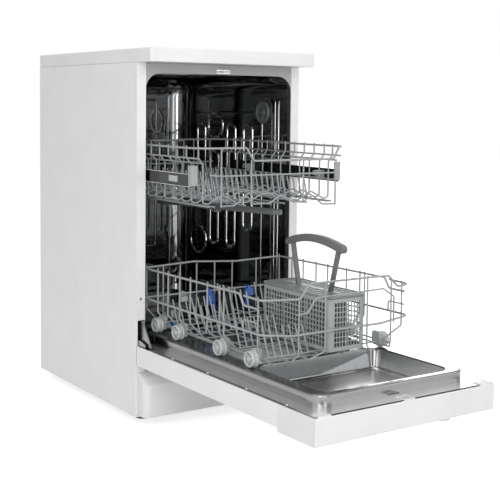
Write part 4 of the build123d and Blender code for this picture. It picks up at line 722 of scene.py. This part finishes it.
tub = dict(
    half=203.5, top=799, low=206.5, front=14.6, back=514, corner=37, backRadius=58, backCorner=3, sheet=0.8,
    panel=(126, 474, 236, 706, 30), ovals=((346, 669, 36, 33), (430, 351, 40, 38)),
    slots=((418, 455, 674), (350, 348, 600), (268, 348, 674), (189, 400, 674)), slotHalf=20, bead=4.6, beadDepth=1.5,
    folds=((76, 9, 2.6), (56, 4.5, 2.2)), foldSpan=(232, 742), foldEnd=14, backPanel=(-114, 114, 328, 738, 10),
    ceiling=(150, 220, 330, 400), ceilingHalf=160, inside=(0, 0.25, 0.5),
)


def tubSection(inset):
    # the tub's outline seen from the front, from low left over the top to low right
    v = tub
    half, top = v["half"] - inset, v["top"] - inset
    share = inset / v["backRadius"]
    radius = v["corner"] * (1 - share) + v["backCorner"] * share
    points = [(-half, v["low"]), (-half, (v["low"] + top) / 2), (-half, top - radius)]
    for step in range(1, 9):
        angle = math.radians(180 - 90 * step / 8)
        points.append((-half + radius + radius * math.cos(angle), top - radius + radius * math.sin(angle)))
    return points + [(-x, z) for x, z in reversed(points)]


def tubWallMesh():
    # one drawn shell with rounded back corners, open in front and below
    v = tub
    stations = [(v["front"], 0), ((v["front"] + v["back"]) / 2, 0)]
    for step in range(13):
        angle = math.radians(90 * step / 12)
        y = v["back"] - v["backRadius"] * (1 - math.sin(angle))
        stations.append((y, v["backRadius"] * (1 - math.cos(angle))))
    bm = bmesh.new()
    rows = [[bm.verts.new(onMillimetres((x, y, z))) for x, z in tubSection(inset)] for y, inset in stations]
    for a, b in zip(rows, rows[1:]):
        for i in range(len(a) - 1):
            bm.faces.new((a[i], a[i + 1], b[i + 1], b[i]))
    bm.faces.new(rows[-1])
    bmesh.ops.recalc_face_normals(bm, faces=bm.faces)
    wall = bm.faces[0]
    if wall.normal.dot(Vector(v["inside"]) - wall.calc_center_median()) < 0:
        bmesh.ops.reverse_faces(bm, faces=bm.faces)
    bmesh.ops.solidify(bm, geom=bm.faces[:], thickness=v["sheet"] * mm)
    return meshFrom(bm, "tubWall", 25, finish["tubSteel"])


def beadPaths():
    # pressed beads: closed ovals and slots on both side walls
    v = tub
    outlines = []
    for y, z, halfWide, halfTall in v["ovals"]:
        turns = [2 * math.pi * i / 28 for i in range(28)]
        outlines.append([(y + halfWide * math.cos(a), z + halfTall * math.sin(a)) for a in turns])
    wide = v["slotHalf"]
    for y, low, high in v["slots"]:
        outlines.append(roundedOutline(y - wide, y + wide, low, high, wide - 4))
    paths = []
    for side in (-1, 1):
        for outline in outlines:
            closed = outline + outline[:2]
            paths.append([(side * (v["half"] + v["beadDepth"]), y, z) for y, z in closed])
    return paths


def framePaths():
    # the duller pressings, in the tub's own steel without the painted highlight: the borders of the side and back
    # panels, and the ceiling's lines
    v = tub
    panel = roundedOutline(*v["panel"])
    paths = [[(side * (v["half"] + v["beadDepth"]), y, z) for y, z in panel + panel[:2]] for side in (-1, 1)]
    back = roundedOutline(*v["backPanel"])
    paths.append([(x, v["back"] + v["beadDepth"], z) for x, z in back + back[:2]])
    for y in v["ceiling"]:
        paths.append(mirrored([(-v["ceilingHalf"], y, v["top"] + v["beadDepth"])]))
    return paths


def foldMesh(name, side, y, halfWidth, height, material):
    # a low rounded fold that runs up a side wall, its ends tapered into the wall
    v = tub
    low, high = v["foldSpan"]
    arc = [math.radians(180 * i / 10) for i in range(11)]
    bm = bmesh.new()
    rows = []
    for z, share in ((low, 0.1), (low + v["foldEnd"], 1), (high - v["foldEnd"], 1), (high, 0.1)):
        row = [(v["half"] + 0.6 - (height + 0.6) * share * math.sin(a), y + halfWidth * math.cos(a)) for a in arc]
        rows.append([bm.verts.new(onMillimetres((side * x, py, z))) for x, py in row])
    skin(bm, rows)
    bm.faces.new(rows[0])
    bm.faces.new(rows[-1])
    return meshFrom(bm, name, 40, material, outward=True)


def makeTub():
    v = tub
    steel = finish["tubSteel"]
    shell = [tubWallMesh(), wireMesh("panelBeads", framePaths(), v["bead"] - 0.8, 1, steel, 16)]
    piece = addPiece("tubShell", joinedMesh("tubShell", shell), "cabinet", steel)
    # the back wall's faces take the darker steel, painted shade
    addSecondFinish(piece, finish["backShadeSteel"], lambda p, n: p.y > v["back"] - 6 and abs(n.y) > 0.5)
    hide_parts("tub_wrap", "tub_back_wall")
    # the beads and folds are painted in the lighter steel as a highlight
    steel = finish["beadHighlightSteel"]
    parts = [wireMesh("tubBeads", beadPaths(), v["bead"], 1, steel, 16)]
    for y, halfWidth, height in v["folds"]:
        parts += [foldMesh("tubFold", side, y, halfWidth, height, steel) for side in (-1, 1)]
    addPiece("tubPressings", joinedMesh("tubPressings", parts), "cabinet", steel)


ventCap = dict(
    centre=(121, 708),
    profile=((203.2, 0.4), (203.2, 29), (200.4, 29), (198, 27.6), (197.4, 25.4), (197.8, 23), (200.8, 20.8),
             (201.8, 18.6), (201.8, 10.6), (199.4, 8.8), (198.4, 6.2), (198.2, 0.4)),
    ribs=16, ribSpan=(12.4, 17.2), ribX=201.6, ribWire=0.9,
)


def makeVent():
    # a ring with a sunk face, fine ribs and a small boss
    v = ventCap
    plastic = finish["armPlastic"]
    parts = [turnedMesh("ventRing", v["profile"], v["centre"], plastic)]
    ribs = []
    for i in range(v["ribs"]):
        angle = 2 * math.pi * i / v["ribs"]
        ribs.append([(v["ribX"], v["centre"][0] + r * math.cos(angle), v["centre"][1] + r * math.sin(angle))
                     for r in v["ribSpan"]])
    parts.append(wireMesh("ventRibs", ribs, v["ribWire"], 1, plastic))
    piece = addPiece("ventRing", joinedMesh("ventRing", parts), "cabinet", plastic)
    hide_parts("vent_cap")


softNodes = {
    # piece: (node, body, finish, slot, edge radius in millimetres)
    "worktopBoard": ("worktop", "cabinet", "worktopLaminate", "worktop_laminate", 1.2),
    "fasciaFront": ("control_fascia", "door", "whitePlastic", "white_plastic", 1.0),
    "doorSkin": ("door_outer_panel", "door", "whiteEnamel", "white_enamel", 0.8),
    "sideLeft": ("side_panel_left", "cabinet", "whiteEnamel", "white_enamel", 0.5),
    "sideRight": ("side_panel_right", "cabinet", "whiteEnamel", "white_enamel", 0.5),
    "plinthBox": ("plinth", "cabinet", "plinthPlastic", "plinth_plastic", 1.0),
    "railEnds": ("rail_stops", "upper_rack", "basketPlastic", "grey_plastic", 0.7),
    "linerPan": ("door_liner", "door", "linerSteel", "stainless_door", 1.0),
    "carryHandle": ("cutlery_handle", "cutlery", "handlePlastic", "dark_plastic", 0.7),
}


def softCopy(name, nodeName, body, material, width, wanted=None):
    # a CAD solid's own shape with its loose triangles joined and its edges rounded
    bm = bmesh.new()
    bm.from_mesh(nodes[nodeName].data)
    bmesh.ops.remove_doubles(bm, verts=bm.verts, dist=0.00002)
    if wanted:
        unwanted = [v for v in bm.verts if not wanted(v.co / mm)]
        bmesh.ops.delete(bm, geom=unwanted, context="VERTS")
    bmesh.ops.dissolve_limit(bm, angle_limit=math.radians(0.6), verts=bm.verts, edges=bm.edges)
    piece = addPiece(name, meshFrom(bm, name, 30), body, material)
    bevel = piece.modifiers.new("edges", "BEVEL")
    bevel.width = width * mm
    bevel.segments = 2
    bevel.limit_method = "ANGLE"
    bevel.angle_limit = math.radians(40)
    bevel.use_clamp_overlap = True
    bevel.harden_normals = True
    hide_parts(nodeName)
    return piece


recess = dict(half=164, front=-604, back=-368, top=204)


def inRecess(point):
    v = recess
    return abs(point.x) < v["half"] and v["front"] < point.y < v["back"] and point.z < v["top"]


def makeSoftNodes():
    for name, (nodeName, body, finishName, slotName, width) in softNodes.items():
        piece = softCopy(name, nodeName, body, finish[finishName], width)
        if name == "linerPan":
            # the recess's floor and right wall are painted lighter as a reflection, and its wall towards the cabinet
            # is painted darker as shade
            addSecondFinish(piece, finish["recessReflectionSteel"], lambda p, n: inRecess(p) and (n.z > 0.7 or n.x < -0.3))
            addSecondFinish(piece, finish["backShadeSteel"], lambda p, n: inRecess(p) and n.y < -0.5)
    softCopy("leverClips", "tine_clips", "lower_rack", finish["bluePlastic"], 0.8, lambda p: p.y > 0)
    softCopy("tineSaddles", "tine_clips", "lower_rack", finish["basketPlastic"], 0.6,
             lambda p: p.y < 0)


rails = dict(
    front=-190, back=254.6, lip=(198.9, 200), lipTall=1.9, top=582, low=553,
    pad=(195.2, 195.85, -131, -94, 561, 574),
)


def makeRails():
    # channels painted dark as shade, their lips painted bright as a highlight, and the slide block seen in each
    v = rails
    softCopy("rackRails", "upper_rails", "upper_rack", finish["railShadeSteel"], 0.4)
    lips, pads = [], []
    for side in (-1, 1):
        x0, x1 = sorted((side * v["lip"][0], side * v["lip"][1]))
        for z0, z1 in ((v["top"] - v["lipTall"], v["top"]), (v["low"], v["low"] + v["lipTall"])):
            lips.append((x0, x1, v["front"], v["back"], z0, z1))
        x0, x1 = sorted((side * v["pad"][0], side * v["pad"][1]))
        pads.append((x0, x1, *v["pad"][2:]))
    addPiece("railLips", blockMesh("railLips", lips, finish["lipHighlightSteel"], 0.5), "upper_rack",
             finish["lipHighlightSteel"])
    addPiece("railPads", blockMesh("railPads", pads, finish["wheelPlastic"], 0.1), "upper_rack",
             finish["wheelPlastic"])


wheels = dict(
    stations=(-4, -95.6, -265.5, -380.4), height=226,
    spokes=6, spokeSize=(5.4, 2.6, 7.6), spokeX=174.8, spokeReach=9.2, firstSpoke=0.3,
    profile=((163.2, 3.3), (163.2, 16.6), (163.9, 17.6), (165.3, 17.9), (166.6, 17.4), (167.2, 16.2), (168.0, 15.6),
             (168.9, 16.1), (170.0, 16.6), (176.4, 16.6), (178.2, 16.0), (179.0, 14.8), (179.0, 13.6), (178.4, 12.9),
             (172.4, 12.6), (172.0, 12.0), (172.0, 6.4), (172.6, 5.9), (178.0, 5.6), (178.7, 5.0), (178.7, 3.3)),
)


def spokeMesh(side, centre):
    v = wheels
    size, reach = Vector(v["spokeSize"]), Vector((0, 0, v["spokeReach"]))
    shift = Matrix.Translation(onMillimetres((side * v["spokeX"], *centre)))
    bm = bmesh.new()
    for i in range(v["spokes"]):
        made = bmesh.ops.create_cube(bm, size=1)
        turn = Matrix.Rotation(2 * math.pi * i / v["spokes"] + v["firstSpoke"], 4, "X")
        for vertex in made["verts"]:
            vertex.co = shift @ turn @ ((vertex.co * size + reach) * mm)
    bmesh.ops.bevel(bm, geom=bm.edges[:], offset=0.4 * mm, segments=2, profile=0.5, affect="EDGES")
    return meshFrom(bm, "wheelSpokes", 40, finish["wheelPlastic"], outward=True)


def makeWheels():
    v = wheels
    plastic = finish["wheelPlastic"]
    for number, y in enumerate(v["stations"], start=1):
        centre = (y, v["height"])
        parts = []
        for side in (-1, 1):
            parts += [turnedMesh("wheelRim", v["profile"], centre, plastic, side), spokeMesh(side, centre)]
        mesh = joinedMesh(f"wheelPair{number}", parts)
        piece = addPiece(f"wheelPair{number}", mesh, f"wheels_{number}", plastic)
        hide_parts(f"lower_wheels_{number}")


makeLowerBasket()
makeFoldTines()
makeUpperBasket()
makeCutleryBasket()
makeCutleryLid()
makeWheels()
makeTub()
makeVent()
makeSoftNodes()
makeRails()
print("stage: baskets, wheels and rounded copies")


# angles in radians, focal length in pixels of a frame that is 500 wide
view = dict(
    place=(-1.34102, -2.07658, 0.72930), yaw=0.6008, pitch=-0.06727, roll=0.01096,
    focal=1056.02, frame=500, sensor=36, shift=-0.15, nearest=0.05,
)


def setCamera():
    ahead = Vector((
        math.sin(view["yaw"]) * math.cos(view["pitch"]),
        math.cos(view["yaw"]) * math.cos(view["pitch"]),
        math.sin(view["pitch"]),
    ))
    level = Vector((math.cos(view["yaw"]), -math.sin(view["yaw"]), 0))
    upright = level.cross(ahead)
    right = level * math.cos(view["roll"]) + upright * math.sin(view["roll"])
    up = upright * math.cos(view["roll"]) - level * math.sin(view["roll"])
    data = bpy.data.cameras.new("camera")
    data.sensor_width = view["sensor"]
    data.sensor_fit = "HORIZONTAL"
    data.lens = view["focal"] / view["frame"] * view["sensor"]
    data.shift_y = view["shift"]
    data.clip_start = view["nearest"]
    camera = bpy.data.objects.new("camera", data)
    camera.matrix_world = Matrix.Translation(view["place"]) @ Matrix((right, up, -ahead)).transposed().to_4x4()
    bpy.context.scene.collection.objects.link(camera)
    bpy.context.scene.camera = camera


lamps = {
    "keyLamp": dict(place=(-1.9, -3.0, 2.4), aim=(0, -0.2, 0.5), size=(2.4, 2.0), power=46),
    "fillLamp": dict(place=(2.2, -2.8, 1.7), aim=(0, -0.2, 0.4), size=(2.0, 2.0), power=16),
    "sideLamp": dict(place=(-2.7, -1.2, 1.3), aim=(-0.2, -0.3, 0.3), size=(1.4, 1.2), power=6.5),
    "lowLamp": dict(place=(-1.5, -1.8, 0.5), aim=(-0.25, -0.45, 0.15), size=(0.6, 0.5), power=5),
    "backLamp": dict(place=(1.75, 1.55, 0.85), aim=(0.1, -0.4, 0.17), size=(1.0, 0.6), power=7),
    "stripLamp": dict(place=(-0.6, -3.2, 0.9), aim=(0.1, 0.3, 0.6), size=(0.35, 1.7), power=8),
    "topLamp": dict(place=(0.0, -0.4, 3.0), aim=(0, 0, 0), size=(2.4, 2.4), power=17),
}
studio = dict(color=(0.93, 0.94, 0.96), strength=0.42, floor=0.78, glow=0.76, floorSize=9, floorRough=0.8)


def seenDirectly(tree):
    # 1 for what the camera, a reflection or clear material looks at, else 0
    path = tree.nodes.new("ShaderNodeLightPath")
    total = path.outputs["Is Camera Ray"]
    for label in ("Is Glossy Ray", "Is Transmission Ray"):
        either = tree.nodes.new("ShaderNodeMath")
        either.operation = "MAXIMUM"
        tree.links.new(total, either.inputs[0])
        tree.links.new(path.outputs[label], either.inputs[1])
        total = either.outputs[0]
    return total


def setLights():
    for name, values in lamps.items():
        data = bpy.data.lights.new(name, "AREA")
        data.shape = "RECTANGLE"
        data.size, data.size_y = values["size"]
        data.energy = values["power"]
        lamp = bpy.data.objects.new(name, data)
        lamp.location = values["place"]
        lamp.rotation_euler = (Vector(values["aim"]) - Vector(values["place"])).to_track_quat("-Z", "Y").to_euler()
        lamp.visible_camera = False
        bpy.context.scene.collection.objects.link(lamp)
    world = bpy.data.worlds.new("studio")
    world.use_nodes = True
    tree = world.node_tree
    base = tree.nodes["Background"]
    base.inputs["Color"].default_value = (*studio["color"], 1)
    base.inputs["Strength"].default_value = studio["strength"]
    white = tree.nodes.new("ShaderNodeBackground")
    white.inputs["Color"].default_value = (1, 1, 1, 1)
    white.inputs["Strength"].default_value = 1.0
    mix = tree.nodes.new("ShaderNodeMixShader")
    tree.links.new(seenDirectly(tree), mix.inputs["Fac"])
    tree.links.new(base.outputs[0], mix.inputs[1])
    tree.links.new(white.outputs[0], mix.inputs[2])
    tree.links.new(mix.outputs[0], tree.nodes["World Output"].inputs["Surface"])
    bpy.context.scene.world = world


def setFloor():
    bm = bmesh.new()
    bmesh.ops.create_grid(bm, x_segments=1, y_segments=1, size=studio["floorSize"])
    floor = bpy.data.objects.new("floor", meshFrom(bm, "floor"))
    bpy.context.scene.collection.objects.link(floor)
    material, tree, shader, _ = startMaterial("studioFloor")
    shader.inputs["Base Color"].default_value = (studio["floor"], studio["floor"], studio["floor"], 1)
    shader.inputs["Roughness"].default_value = studio["floorRough"]
    glow = tree.nodes.new("ShaderNodeEmission")
    share = tree.nodes.new("ShaderNodeMath")
    share.operation = "MULTIPLY"
    share.inputs[1].default_value = studio["glow"]
    both = tree.nodes.new("ShaderNodeAddShader")
    tree.links.new(seenDirectly(tree), share.inputs[0])
    tree.links.new(share.outputs[0], glow.inputs["Strength"])
    tree.links.new(shader.outputs[0], both.inputs[0])
    tree.links.new(glow.outputs[0], both.inputs[1])
    tree.links.new(both.outputs[0], tree.nodes["Material Output"].inputs["Surface"])
    floor.data.materials.append(material)


setCamera()
setLights()
setFloor()
bpy.context.scene.view_settings.view_transform = "Standard"
print("stage: camera, light and floor")
